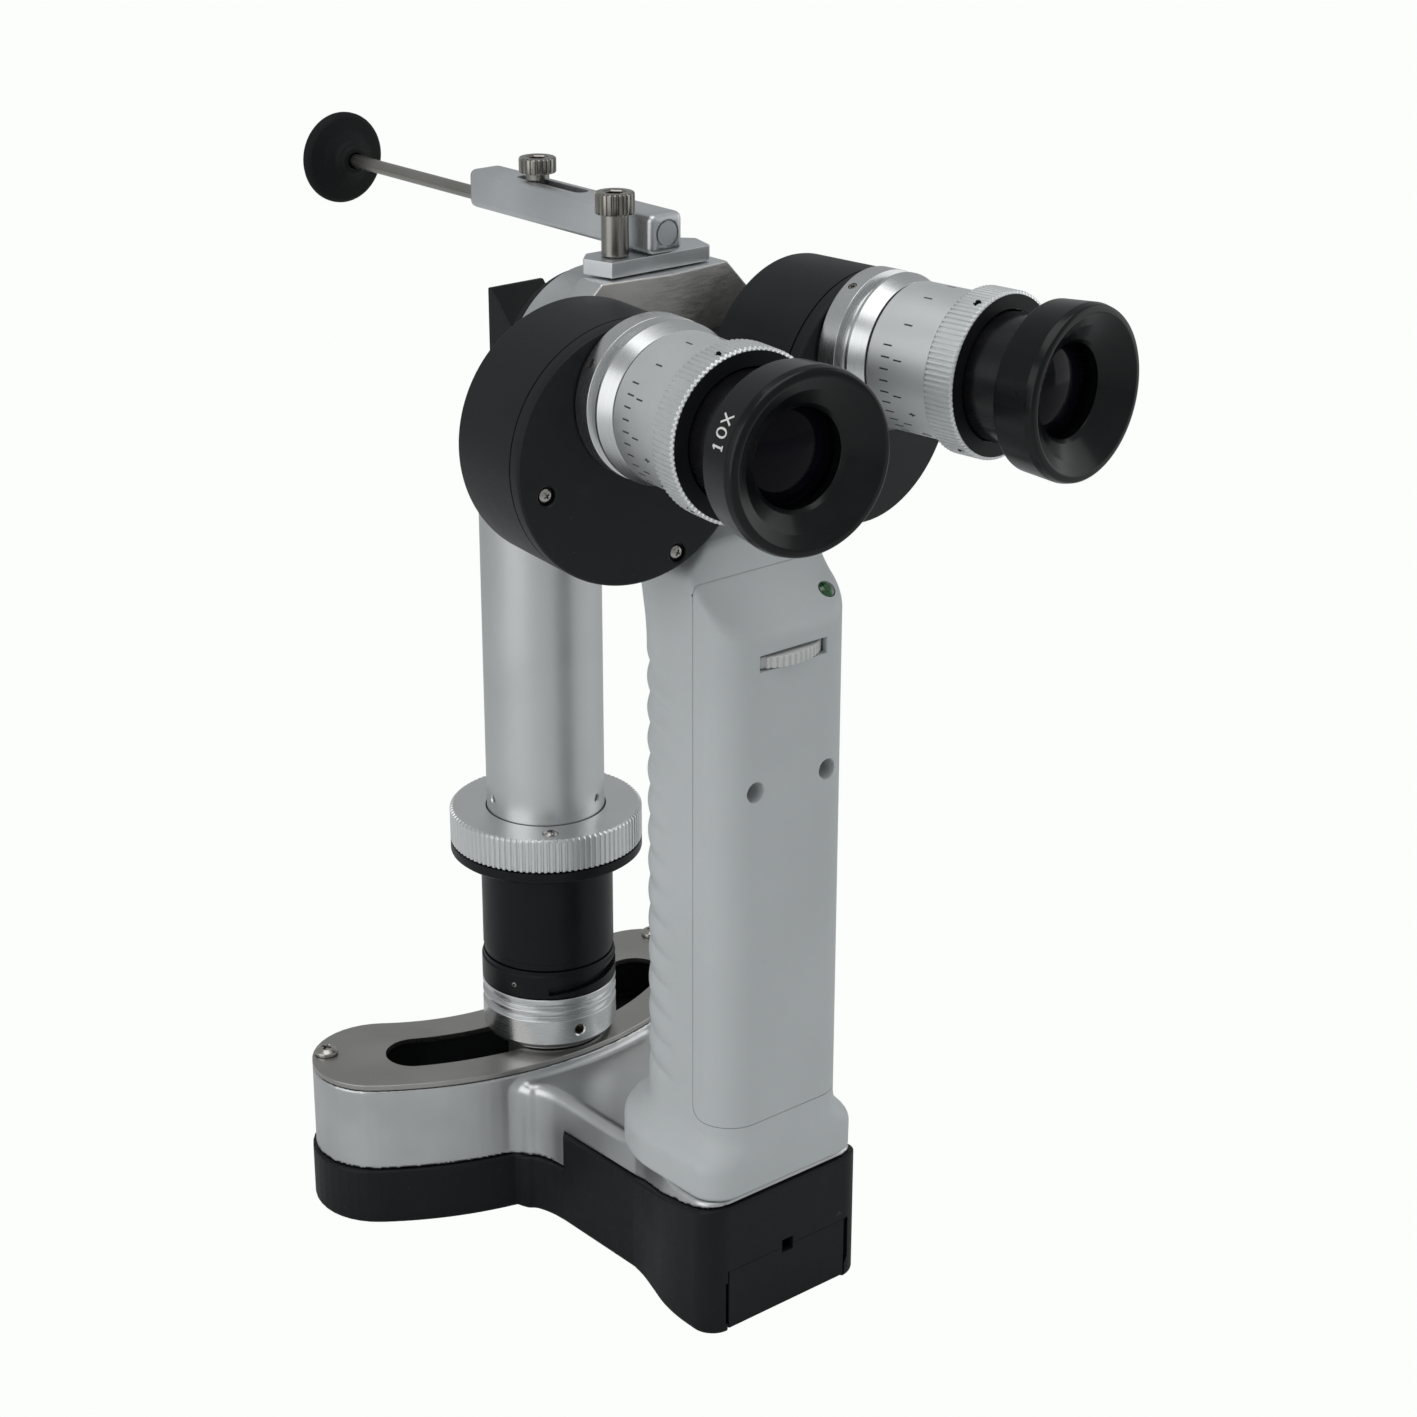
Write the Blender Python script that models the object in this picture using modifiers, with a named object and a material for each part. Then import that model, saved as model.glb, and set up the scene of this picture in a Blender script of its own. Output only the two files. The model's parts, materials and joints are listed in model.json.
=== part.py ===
"""Handheld slit lamp: a grip on a battery foot, a swinging light column and a two-eyepiece microscope.

X runs left to right for the examiner, Y points to the patient and Z is up. The origin is on the
underside of the foot, straight below the light column. Lengths below are in millimetres.
"""

import math

import bmesh
import bpy
from mathutils import Matrix, Vector

MM = 0.001
GAP = 0.3
BIG_STEPS = 32
TURN_STEPS = 24
SMALL_STEPS = 12

# Swing track
FOCUS_Y = 66.0
TRACK_RADIUS = 66.0
TRACK_END_DEG = 37.3
PLATE_TOP = 36.0
PLATE_THICK = 1.3
PLATE_HALF = 15.5
SLOT_HALF = 6.8
SLOT_END_DEG = 30.0
CHANNEL_HALF = 10.6
CHANNEL_FLOOR = 24.0
PLATE_SCREW = (49.1, 21.7)

# Foot
TRAY_HALF = 16.3
TRAY_ARM_TOP = 14.0
TRAY_REAR_Y = -85.5
TRAY_HALF_WIDTH = 22.5
TRAY_WALL = 1.7
NECK_HALF = 16.8
CASTING_BOTTOM = 16.3
NECK_TOP = 32.8
SPINE_HOLE = ((-5.3, -57.9), (5.3, -52.3))
BAY_HALF = 15.6
BAY_FLOOR = 2.0
DOOR_HALF = 17.0
DOOR_BOTTOM = 1.0
DOOR_TOP = 15.4
DOOR_THICK = 2.1
LATCH_HALF = 1.25
LATCH_Z = 15.65

# Light column
COLUMN_TUBE_R = 13.6
COLUMN_TUBE_BORE = 11.8
COLUMN_TUBE_TOP = 189.0
COLUMN_SLEEVE_R = 15.3
COLUMN_RING_R = 15.7
SLIT_RING_R = 22.2

# Grip
GRIP_HALF = 17.7
GRIP_FRONT = -49.0
GRIP_REAR = -85.0
GRIP_MID = -64.0
GRIP_BOTTOM = 32.9
GRIP_TOP = 169.5
SEAM_Y = -74.0
GROOVES = 14
GROOVE_PITCH = 7.0
GROOVE_FIRST = 58.5
GROOVE_DEPTH = 0.9
WHEEL_Z = (152.8, 155.3)
WHEEL_R = 14.0
WHEEL_Y = -72.6
WALL = 2.4
CREASE_Z = 168.9
SLOPE_REAR = (-92.0, 154.3)
HOOD_TOP = 171.2
COVER_SCREW = (9.9, 126.4)
LED_SPOT = (13.2, -80.2)

# Microscope
TUBE_TILT = math.radians(6.77)
OPTIC_Z = 200.0
EYE_PLANE = 197.86
EYE_OUT = 12.51
EYE_UP = 11.8
DRUM_R = 26.6
DRUM_OUT = 14.8
DRUM_FRONT = 118.8
DRUM_REAR = 142.46
COVER_THICK = 3.06
FACET_PLANE = 111.62
FACET_Y = 46.4
DOME_Z = 201.3
DRUM_SCREWS = ((35.0, -5.0), (5.3, -21.8))

# Forehead rest
ARM_HALF = 4.25
ARM_REAR = -45.0
ARM_FRONT = 18.0
ARM_Z = (229.9, 238.2)
REST_ROD_Z = 231.8
CLAMP_Y = -1.6
MOUNT_KNOB = (-8.6, -38.7)

COLOURS = {
    "silver": ((0.72, 0.73, 0.74), 0.32, 1.0),
    "steel": ((0.55, 0.53, 0.50), 0.3, 1.0),
    "black": ((0.018, 0.019, 0.021), 0.45, 0.0),
    "gloss": ((0.008, 0.008, 0.009), 0.12, 0.0),
    "plastic": ((0.60, 0.62, 0.63), 0.42, 0.0),
    "tray": ((0.022, 0.024, 0.026), 0.5, 0.0),
    "glass": ((0.03, 0.02, 0.05), 0.05, 0.0),
    "clear": ((0.75, 0.80, 0.82), 0.04, 0.0),
    "board": ((0.02, 0.16, 0.07), 0.5, 0.0),
    "green": ((0.02, 0.16, 0.05), 0.25, 0.0),
    "amber": ((0.80, 0.62, 0.20), 0.35, 0.0),
    "battery": ((0.10, 0.13, 0.20), 0.5, 0.0),
}


def clear_scene():
    for old in list(bpy.data.objects):
        bpy.data.objects.remove(old, do_unlink=True)


def new_collection(name, hidden):
    made = bpy.data.collections.new(name)
    made.hide_render = hidden
    bpy.context.scene.collection.children.link(made)
    return made


clear_scene()
LAMP = new_collection("handheld_slit_lamp", False)
HELPERS = new_collection("cutters", True)


def place(name, mesh, frame, colour):
    """Links a mesh as a node when it has a colour, and as a hidden helper when it has none."""
    made = bpy.data.objects.new(name, mesh)
    made.matrix_world = frame
    if colour is None:
        made.hide_render = True
        made.display_type = "WIRE"
        HELPERS.objects.link(made)
        return made
    LAMP.objects.link(made)
    rgb, rough, metal = COLOURS[colour]
    material = bpy.data.materials.new(name)
    material.use_nodes = True
    shader = material.node_tree.nodes["Principled BSDF"]
    shader.inputs["Base Color"].default_value = (*rgb, 1.0)
    shader.inputs["Roughness"].default_value = rough
    shader.inputs["Metallic"].default_value = metal
    mesh.materials.append(material)
    return made


def at(x=0.0, y=0.0, z=0.0):
    return Matrix.Translation(Vector((x, y, z)) * MM)


def mesh_of(name, bm):
    bmesh.ops.recalc_face_normals(bm, faces=bm.faces)
    mesh = bpy.data.meshes.new(name)
    bm.to_mesh(mesh)
    bm.free()
    return mesh


def add_bevel(obj, width, segments=2, angle=40.0):
    bevel = obj.modifiers.new("bevel", "BEVEL")
    bevel.width = width * MM
    bevel.segments = segments
    bevel.limit_method = "ANGLE"
    bevel.angle_limit = math.radians(angle)


def box(name, low, high, colour=None, frame=None, bevel=0.0, segments=2):
    """A block between two corners, which are given in the frame."""
    bm = bmesh.new()
    bmesh.ops.create_cube(bm, size=1.0)
    size = Vector(high) - Vector(low)
    middle = (Vector(high) + Vector(low)) / 2
    bmesh.ops.scale(bm, vec=size * MM, verts=bm.verts)
    bmesh.ops.translate(bm, vec=middle * MM, verts=bm.verts)
    made = place(name, mesh_of(name, bm), frame or Matrix(), colour)
    if bevel:
        add_bevel(made, bevel, segments)
    return made


def extruded(name, outline, low, high, colour=None, frame=None, bevel=0.0, segments=2):
    """A flat outline drawn in the frame's XY plane and pushed from low to high along its Z."""
    bm = bmesh.new()
    corners = [bm.verts.new(Vector((x, y, low)) * MM) for x, y in outline]
    face = bm.faces.new(corners)
    pushed = bmesh.ops.extrude_face_region(bm, geom=[face])
    top = [item for item in pushed["geom"] if isinstance(item, bmesh.types.BMVert)]
    bmesh.ops.translate(bm, vec=Vector((0.0, 0.0, (high - low) * MM)), verts=top)
    made = place(name, mesh_of(name, bm), frame or Matrix(), colour)
    if bevel:
        add_bevel(made, bevel, segments)
    return made


# Draws an outline in (Y, Z) and pushes it along X.
SIDE_VIEW = Matrix(((0, 0, 1, 0), (1, 0, 0, 0), (0, 1, 0, 0), (0, 0, 0, 1)))
# Draws an outline in (X, Z) and pushes it along -Y.
FRONT_VIEW = Matrix(((1, 0, 0, 0), (0, 0, -1, 0), (0, 1, 0, 0), (0, 0, 0, 1)))
# Local +Z along -Y, and along +Y.
DOME_AXIS = Matrix.Rotation(math.radians(90.0), 4, "X")
CELL_AXIS = Matrix.Rotation(math.radians(-90.0), 4, "X")


def turned(name, profile, colour=None, frame=None, steps=TURN_STEPS):
    """A (radius, height) profile turned about the frame's Z, listed from the top down its outside."""
    mesh = bpy.data.meshes.new(name)
    points = [Vector((radius, 0.0, height)) * MM for radius, height in profile]
    edges = [(i, i + 1) for i in range(len(points) - 1)]
    if profile[0][0] > 0.0:
        edges.append((len(points) - 1, 0))
    mesh.from_pydata(points, edges, [])
    made = place(name, mesh, frame or Matrix(), colour)
    screw = made.modifiers.new("turn", "SCREW")
    screw.axis = "Z"
    screw.steps = steps
    screw.render_steps = steps
    screw.use_merge_vertices = True
    screw.merge_threshold = 0.000001
    return made


def disc(name, radius, low, high, colour=None, frame=None, steps=TURN_STEPS):
    profile = [(0.0, high), (radius, high), (radius, low), (0.0, low)]
    return turned(name, profile, colour, frame, steps)


def combine(target, others, operation):
    for other in others:
        made = target.modifiers.new(operation.lower(), "BOOLEAN")
        made.operation = operation
        made.object = other
        made.solver = "EXACT"
    return target


def cut(target, *others):
    return combine(target, others, "DIFFERENCE")


def join(target, *others):
    return combine(target, others, "UNION")


def arc(centre, radius, start_deg, end_deg, steps):
    """Points on an arc, at angles measured from +X towards +Y."""
    points = []
    for i in range(steps + 1):
        angle = math.radians(start_deg + (end_deg - start_deg) * i / steps)
        points.append((centre[0] + radius * math.cos(angle), centre[1] + radius * math.sin(angle)))
    return points


def track_band(half, end_deg, near_steps=12, cap_steps=8, neck=None):
    """The outline of a round-ended band on the swing track, with an optional neck on its near side."""
    focus = (0.0, FOCUS_Y)
    right = -90.0 + end_deg
    left = -90.0 - end_deg
    outer = TRACK_RADIUS + half
    if neck is None:
        near = arc(focus, outer, left, right, near_steps)
    else:
        root_deg = math.degrees(math.asin(neck[0][0] / outer))
        half_steps = near_steps // 2
        near = arc(focus, outer, left, -90.0 - root_deg, half_steps)
        near += [(-x, y) for x, y in neck[1:]]
        near += list(reversed(neck[1:]))
        near += arc(focus, outer, -90.0 + root_deg, right, half_steps)
    ends = math.radians(end_deg)
    centre = (TRACK_RADIUS * math.sin(ends), FOCUS_Y - TRACK_RADIUS * math.cos(ends))
    cap = arc(centre, half, right, right + 180.0, cap_steps)[1:-1]
    far = arc(focus, TRACK_RADIUS - half, right, left, near_steps)
    other = arc((-centre[0], centre[1]), half, left - 180.0, left, cap_steps)[1:-1]
    return near + cap + far + other


def neck_side(inset):
    """Half of the neck and rear of the foot, from its root on the track to the rear middle."""
    half = NECK_HALF - inset
    wide = TRAY_HALF_WIDTH - inset
    corner = 5.5
    side = [(half + 7.2, 0.0), (half + 3.8, -14.6), (half + 1.6, -17.8), (half + 0.4, -21.8)]
    side += [(half, -26.0), (half, -52.0), (half + 0.9, -56.5), (half + 2.6, -62.0)]
    side += [(half + 4.5, -68.0), (half + 5.5, -74.0)]
    turn = arc((wide - corner, TRAY_REAR_Y + inset + corner), corner, 0.0, -90.0, 4)
    return side + turn


def screw(name, frame, head_r, head_h, shank_r, length, colour="steel"):
    """A cross-head screw with its seat at the frame's origin and its head towards +Z."""
    profile = [(0.0, head_h), (head_r * 0.72, head_h), (head_r, head_h * 0.45), (head_r, 0.0)]
    profile += [(shank_r, 0.0), (shank_r, -length), (0.0, -length)]
    made = turned(name, profile, colour, frame, SMALL_STEPS)
    long, thin, deep = head_r * 0.62, head_r * 0.13, head_h * 0.55
    low, high = head_h - deep, head_h + 1.0
    one = box(name + "_slot_a", (-long, -thin, low), (long, thin, high), frame=frame)
    two = box(name + "_slot_b", (-thin, -long, low), (thin, long, high), frame=frame)
    return cut(made, one, two)


# ---------------------------------------------------------------- foot
def build_foot():
    casting = extruded(
        "base_casting", track_band(PLATE_HALF, TRACK_END_DEG), TRAY_ARM_TOP + GAP,
        PLATE_TOP - PLATE_THICK - GAP, "silver",
    )
    inner = TRAY_WALL + GAP
    neck = extruded(
        "casting_neck", track_band(12.0, 20.0, neck=neck_side(inner)), CASTING_BOTTOM, NECK_TOP - 0.2,
    )
    add_bevel(neck, 2.2, 2, 60.0)
    channel = extruded(
        "casting_channel", track_band(CHANNEL_HALF, SLOT_END_DEG), CHANNEL_FLOOR, PLATE_TOP + 5.0,
    )
    near, far = SPINE_HOLE
    spine_hole = box("casting_spine_hole", (*near, 20.0), (*far, 40.0))
    holes = []
    for side in (-1, 1):
        frame = at(side * PLATE_SCREW[0], PLATE_SCREW[1])
        holes.append(disc(f"casting_hole_{side}", 1.6, 26.0, 40.0, frame=frame, steps=12))
    join(casting, neck)
    cut(casting, channel, spine_hole, *holes)

    tray = extruded(
        "base_tray", track_band(TRAY_HALF, TRACK_END_DEG, neck=neck_side(0.0)), 0.0, 40.0, "tray",
    )
    arms_top = box("tray_arms_top", (-80.0, -25.8, TRAY_ARM_TOP), (80.0, 60.0, 50.0))
    neck_top = extruded(
        "tray_neck_top",
        [(-20.0, 23.5), (-28.0, 23.5), (-52.0, 23.6), (-60.0, 25.6), (-72.0, 29.0), (-90.0, 32.4),
         (-90.0, 50.0), (-20.0, 50.0)],
        -60.0, 60.0, frame=SIDE_VIEW,
    )
    hollow_side = [(x, min(y, -24.0)) for x, y in neck_side(TRAY_WALL)[4:]]
    hollow_outline = [(-x, y) for x, y in hollow_side] + list(reversed(hollow_side))
    hollow_outline = [(-15.1, -14.0)] + hollow_outline + [(15.1, -14.0)]
    hollow = extruded("tray_hollow", hollow_outline, 16.0, 50.0)
    bay = box("tray_bay", (-BAY_HALF, -84.0, BAY_FLOOR), (BAY_HALF, -30.0, 20.0))
    pocket = extruded(
        "tray_pocket", track_band(TRAY_HALF - 2.4, TRACK_END_DEG), 2.4, TRAY_ARM_TOP + 10.0,
    )
    doorway = box(
        "tray_doorway", (-DOOR_HALF - GAP, -90.0, -5.0),
        (DOOR_HALF + GAP, TRAY_REAR_Y + DOOR_THICK + GAP, DOOR_TOP + GAP),
    )
    doorway_in = box("tray_doorway_in", (-BAY_HALF, -90.0, BAY_FLOOR), (BAY_HALF, -80.0, DOOR_TOP))
    latch_size = Vector((LATCH_HALF, 5.0, LATCH_HALF))
    latch_at = Vector((0.0, TRAY_REAR_Y, LATCH_Z))
    latch = box("latch_hole", latch_at - latch_size, latch_at + latch_size)
    cut(tray, arms_top, neck_top, hollow, bay, pocket, doorway, doorway_in, latch)

    plate = extruded(
        "track_plate", track_band(PLATE_HALF, TRACK_END_DEG), PLATE_TOP - PLATE_THICK, PLATE_TOP, "steel",
    )
    slot = extruded("plate_slot", track_band(SLOT_HALF, SLOT_END_DEG), 30.0, 40.0)
    cut(plate, slot)
    for side, label in ((-1, "left"), (1, "right")):
        frame = at(side * PLATE_SCREW[0], PLATE_SCREW[1])
        cut(plate, disc(f"plate_hole_{label}", 1.6, 30.0, 40.0, frame=frame, steps=12))
        seat = at(side * PLATE_SCREW[0], PLATE_SCREW[1], PLATE_TOP + 0.1)
        screw(f"track_screw_{label}", seat, 2.75, 1.6, 1.3, 8.0)

    door = box(
        "battery_door", (-DOOR_HALF, TRAY_REAR_Y, DOOR_BOTTOM),
        (DOOR_HALF, TRAY_REAR_Y + DOOR_THICK, DOOR_TOP), "tray",
    )
    lip = box("door_lip", (-14.0, TRAY_REAR_Y + 1.5, 2.4), (14.0, TRAY_REAR_Y + 4.2, 3.8))
    join(door, lip)
    cut(door, latch)
    box("battery_pack", (-14.6, -80.6, 2.4), (14.6, -36.0, 15.6), "battery", bevel=1.2, segments=1)
    contacts = box("battery_contacts", (-12.0, -34.5, 2.4), (12.0, -32.5, 15.4), "amber")
    for index, x in enumerate((-8.0, 8.0)):
        spring = box(f"contact_spring_{index}", (x - 1.5, -35.6, 6.0), (x + 1.5, -34.0, 11.0))
        join(contacts, spring)


# ---------------------------------------------------------------- grip
def grip_ring(z, half, front, rear, corner, groove=0.0, lean=0.0):
    """One section of the grip: a flat back with round corners and a rounded finger side."""
    points = []
    for x, y in arc((half - corner, rear + corner), corner, -90.0, 0.0, 3):
        points.append((x, y, z))
    reach = front - GRIP_MID
    steps = 12
    for i in range(steps + 1):
        angle = math.pi * i / steps
        dip = groove * math.sin(angle) ** 0.6 if 0 < i < steps else 0.0
        x = (half - dip * abs(math.cos(angle))) * math.cos(angle)
        y = GRIP_MID + (reach - dip) * math.sin(angle)
        slope = lean * (1.0 - math.sin(angle))
        points.append((x, y, z - slope))
    for x, y in arc((-half + corner, rear + corner), corner, 180.0, 270.0, 3):
        points.append((x, y, z))
    return points


def grip_rings():
    rings = [
        grip_ring(GRIP_BOTTOM, 21.5, -40.8, -85.4, 7.0),
        grip_ring(37.6, 21.7, -40.6, -85.6, 7.0),
        grip_ring(39.6, 21.3, -41.2, -85.6, 7.2),
        grip_ring(42.0, 20.0, -43.4, -85.5, 7.6),
        grip_ring(44.6, 18.7, -46.4, -85.3, 8.0),
        grip_ring(48.0, 17.9, -48.6, -85.1, 8.0),
        grip_ring(52.5, GRIP_HALF, GRIP_FRONT, GRIP_REAR, 8.0, 0.0, 2.0),
    ]
    for index in range(GROOVES):
        middle = GROOVE_FIRST + index * GROOVE_PITCH
        for shift, depth in ((-1.4, GROOVE_DEPTH), (1.4, GROOVE_DEPTH), (GROOVE_PITCH / 2, 0.0)):
            rings.append(grip_ring(middle + shift, GRIP_HALF, GRIP_FRONT, GRIP_REAR, 8.0, depth, 3.0))
    rings.append(grip_ring(158.5, GRIP_HALF, -48.2, GRIP_REAR, 8.0, 0.0, 1.0))
    rings.append(grip_ring(164.0, GRIP_HALF, -46.4, GRIP_REAR, 8.0))
    rings.append(grip_ring(168.2, 17.4, -45.0, -84.8, 8.0))
    rings.append(grip_ring(GRIP_TOP, 16.4, -46.0, -84.0, 7.6))
    return rings


def lofted(name, rings, colour=None):
    """Skins a stack of equal-length loops and closes both ends."""
    bm = bmesh.new()
    loops = []
    for ring in rings:
        verts = [bm.verts.new(Vector(point) * MM) for point in ring]
        edges = [bm.edges.new((verts[i - 1], verts[i])) for i in range(len(verts))]
        loops.append(edges)
    for low, high in zip(loops, loops[1:]):
        bmesh.ops.bridge_loops(bm, edges=low + high)
    bmesh.ops.triangulate(bm, faces=bm.faces)
    bmesh.ops.holes_fill(bm, edges=bm.edges, sides=0)
    return place(name, mesh_of(name, bm), Matrix(), colour)


def grip_outline(inset, front=GRIP_FRONT):
    ring = grip_ring(0.0, GRIP_HALF - inset, front - inset, GRIP_REAR + inset, 8.0 - inset)
    return [(x, y) for x, y, _ in ring]


def build_grip():
    rings = grip_rings()
    shell = lofted("grip_shell", rings, "plastic")
    cover = lofted("rear_cover", rings, "plastic")
    crease_y = SEAM_Y - 2 * GAP
    top_slope = [SLOPE_REAR, (SLOPE_REAR[0], 185.0), (crease_y, 185.0), (crease_y, CREASE_Z)]
    seam_box = box("seam_box", (-30.0, -100.0, 49.0), (30.0, SEAM_Y, 190.0))
    cover_box = box("cover_box", (-30.0, -100.0, 49.0 + GAP), (30.0, SEAM_Y - GAP, 190.0))
    slope = extruded("cover_slope", top_slope, -30.0, 30.0, frame=SIDE_VIEW)
    inside = extruded("grip_hollow", grip_outline(WALL), 20.0, 162.0)
    bar = box("grip_bar", (-20.0, SEAM_Y + 0.5, 122.3), (20.0, -68.3, 130.7))
    hood = box("grip_hood", (-9.5, -68.0, 164.6), (9.5, -47.63, 177.0), bevel=1.5, segments=1)
    shoulder = box("grip_shoulder", (-15.6, -73.4, 164.2), (15.6, -49.0, HOOD_TOP), bevel=1.5, segments=1)
    spine_path = box("grip_spine_path", (-5.3, -57.9, 158.0), (5.3, -52.3, 170.3))
    block_path = box("grip_block_path", (-7.3, -65.3, 166.0), (7.3, -40.0, 175.8))
    cut(inside, bar)
    join(shell, shoulder, hood)
    cut(shell, seam_box, inside)
    join(block_path, spine_path)
    cut(shell, block_path)

    combine(cover, [cover_box], "INTERSECT")
    cover_inside = extruded("cover_hollow", grip_outline(WALL), 40.0, 157.0)
    bosses = []
    seats = []
    for side, label in ((-1, "left"), (1, "right")):
        axis = at(side * COVER_SCREW[0], 0.0, COVER_SCREW[1]) @ DOME_AXIS
        bosses.append(disc(f"cover_boss_{label}", 3.6, 75.0, 84.0, frame=axis, steps=20))
        seats.append(disc(f"cover_seat_{label}", 2.15, 77.2, 95.0, frame=axis, steps=20))
        seats.append(disc(f"cover_bore_{label}", 1.5, 60.0, 80.0, frame=axis, steps=12))
        bar_bore = disc(f"bar_bore_{label}", 1.5, 60.0, 80.0, frame=axis, steps=12)
        cut(shell, bar_bore)
        seat = axis @ at(0.0, 0.0, 77.5)
        screw(f"cover_screw_{label}", seat, 1.8, 1.4, 1.2, 7.5)
    wheel_low, wheel_high = WHEEL_Z
    wheel_slot = box("wheel_slot", (-9.15, -95.0, wheel_low - GAP), (9.15, -70.0, wheel_high + GAP))
    wheel_room = disc("wheel_room", WHEEL_R + GAP, wheel_low - GAP, wheel_high + GAP, frame=at(0.0, WHEEL_Y))
    led_frame = led_axis()
    led_hole = disc("led_hole", 2.5, -9.0, 9.0, frame=led_frame, steps=SMALL_STEPS)
    cut(cover, cover_inside, slope)
    join(cover, *bosses)
    cut(cover, *seats, wheel_slot, wheel_room, led_hole)

    turned(
        "brightness_wheel",
        [(3.3, wheel_high), (WHEEL_R - 0.4, wheel_high), (WHEEL_R, wheel_high - 0.4),
         (WHEEL_R, wheel_low + 0.4), (WHEEL_R - 0.4, wheel_low), (3.3, wheel_low)],
        "plastic", at(0.0, WHEEL_Y, 0.0),
    )
    turned(
        "potentiometer",
        [(0.0, 156.2), (3.0, 156.2), (3.0, 151.8), (7.6, 151.8), (7.6, 145.5), (0.0, 145.5)],
        "steel", at(0.0, WHEEL_Y, 0.0), 20,
    )
    box("control_board", (-6.0, -79.6, 62.0), (6.0, -78.0, 140.0), "board")
    turned(
        "power_led", [(0.0, 0.5), (1.5, 0.4), (2.2, -0.1), (2.2, -5.0), (0.0, -5.0)],
        "green", led_frame, SMALL_STEPS,
    )
    bracket = box("head_bracket", (-5.0, -57.6, 21.0), (5.0, -52.6, 170.0), "silver")
    top = box("bracket_top", (-7.0, -65.0, 166.3), (7.0, -46.9, 175.5))
    join(bracket, top)


def led_axis():
    """The indicator's frame: on the cover's sloping top, square to it."""
    rear_y, rear_z = SLOPE_REAR
    tilt = math.atan2(CREASE_Z - rear_z, SEAM_Y - 2 * GAP - rear_y)
    x, y = LED_SPOT
    return at(x, y, rear_z + (y - rear_y) * math.tan(tilt)) @ Matrix.Rotation(tilt, 4, "X")


# ---------------------------------------------------------------- light column
def build_column():
    slider = disc("swing_slider", 13.5, PLATE_TOP + GAP, PLATE_TOP + 0.9, "steel")
    stem = disc("slider_stem", 6.3, 31.0, PLATE_TOP + 0.6, steps=24)
    shoe = disc("slider_shoe", 10.0, 27.0, PLATE_TOP - PLATE_THICK - GAP, steps=24)
    join(slider, stem, shoe)

    ring_r = COLUMN_RING_R
    base_ring = turned(
        "lamp_base_ring",
        [(12.2, 50.0), (ring_r, 50.0), (ring_r, 48.6), (ring_r - 1.0, 47.8), (ring_r, 47.0),
         (ring_r, 46.0), (ring_r - 1.0, 45.2), (ring_r, 44.4), (ring_r, 38.2), (ring_r - 0.9, 37.2),
         (12.2, 37.2)],
        "silver",
    )
    screw_axis = Matrix.Rotation(math.radians(-100.6), 4, "Z") @ Matrix.Rotation(math.radians(90.0), 4, "Y")
    cut(base_ring, disc("ring_tapping", 1.2, 8.0, 20.0, frame=at(0, 0, 41.4) @ screw_axis, steps=12))
    turned(
        "lamp_led",
        [(0.0, 43.0), (2.4, 42.4), (3.0, 41.0), (11.8, 41.0), (11.8, 39.0), (0.0, 39.0)], "amber",
        steps=20,
    )
    turned(
        "filter_ring",
        [(10.5, 57.0), (ring_r, 57.0), (ring_r, 50.3), (10.5, 50.3)], "black",
    )
    sleeve_r = COLUMN_SLEEVE_R
    turned("lamp_sleeve", [(13.2, 82.2), (sleeve_r, 82.2), (sleeve_r, 57.3), (13.2, 57.3)], "black")
    turned(
        "condenser_lens",
        [(0.0, 73.5), (6.0, 72.6), (12.0, 70.0), (12.9, 70.0), (12.9, 67.0), (0.0, 67.0)], "clear",
        steps=24,
    )
    flange_r = SLIT_RING_R
    turned(
        "column_flange",
        [(13.9, 85.2), (flange_r, 85.2), (flange_r, 83.1), (flange_r - 0.6, 82.5), (11.0, 82.5),
         (11.0, 84.2), (13.9, 84.2)],
        "black", steps=BIG_STEPS,
    )
    turned(
        "slit_ring",
        [(13.9, 93.4), (flange_r - 0.7, 93.4), (flange_r, 92.7), (flange_r, 85.5), (13.9, 85.5)],
        "silver", steps=BIG_STEPS,
    )
    slit_plate = disc("slit_plate", 11.5, 90.0, 91.0, "steel", steps=24)
    cut(slit_plate, box("slit_opening", (-0.5, -5.0, 88.0), (0.5, 5.0, 93.0)))
    tube_r, tube_bore, tube_top = COLUMN_TUBE_R, COLUMN_TUBE_BORE, COLUMN_TUBE_TOP
    tube = turned(
        "column_tube",
        [(tube_bore, tube_top), (tube_r, tube_top), (tube_r, 84.5), (tube_bore, 84.5)], "silver",
    )
    for index, turn in enumerate((170.7, -67.1)):
        axis = at(0, 0, 97.1) @ Matrix.Rotation(math.radians(turn), 4, "Z")
        axis = axis @ Matrix.Rotation(math.radians(90.0), 4, "Y")
        cut(tube, disc(f"tube_tapping_{index}", 1.0, 8.0, 20.0, frame=axis, steps=12))

    top = tube_top + GAP
    head = disc("mirror_head", 13.4, top, top + 2.4, "black")
    wedge = extruded(
        "mirror_wedge",
        [(-9.5, top + 0.5), (7.6, top + 0.5), (7.6, 214.4), (6.6, 214.4), (-9.5, 198.3)],
        -7.25, 7.25, frame=SIDE_VIEW,
    )
    window = extruded(
        "mirror_window",
        [(-8.0, 193.6), (12.0, 193.6), (12.0, 211.0), (5.5, 211.0), (-8.0, 197.5)],
        -5.9, 5.9, frame=SIDE_VIEW,
    )
    beam = disc("mirror_beam", 5.0, 180.0, 195.0, steps=20)
    join(head, wedge)
    cut(head, window, beam)
    extruded(
        "mirror",
        [(-7.3, 197.78), (-6.45, 196.93), (5.22, 208.6), (4.37, 209.45)],
        -5.5, 5.5, "clear", SIDE_VIEW,
    )


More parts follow.
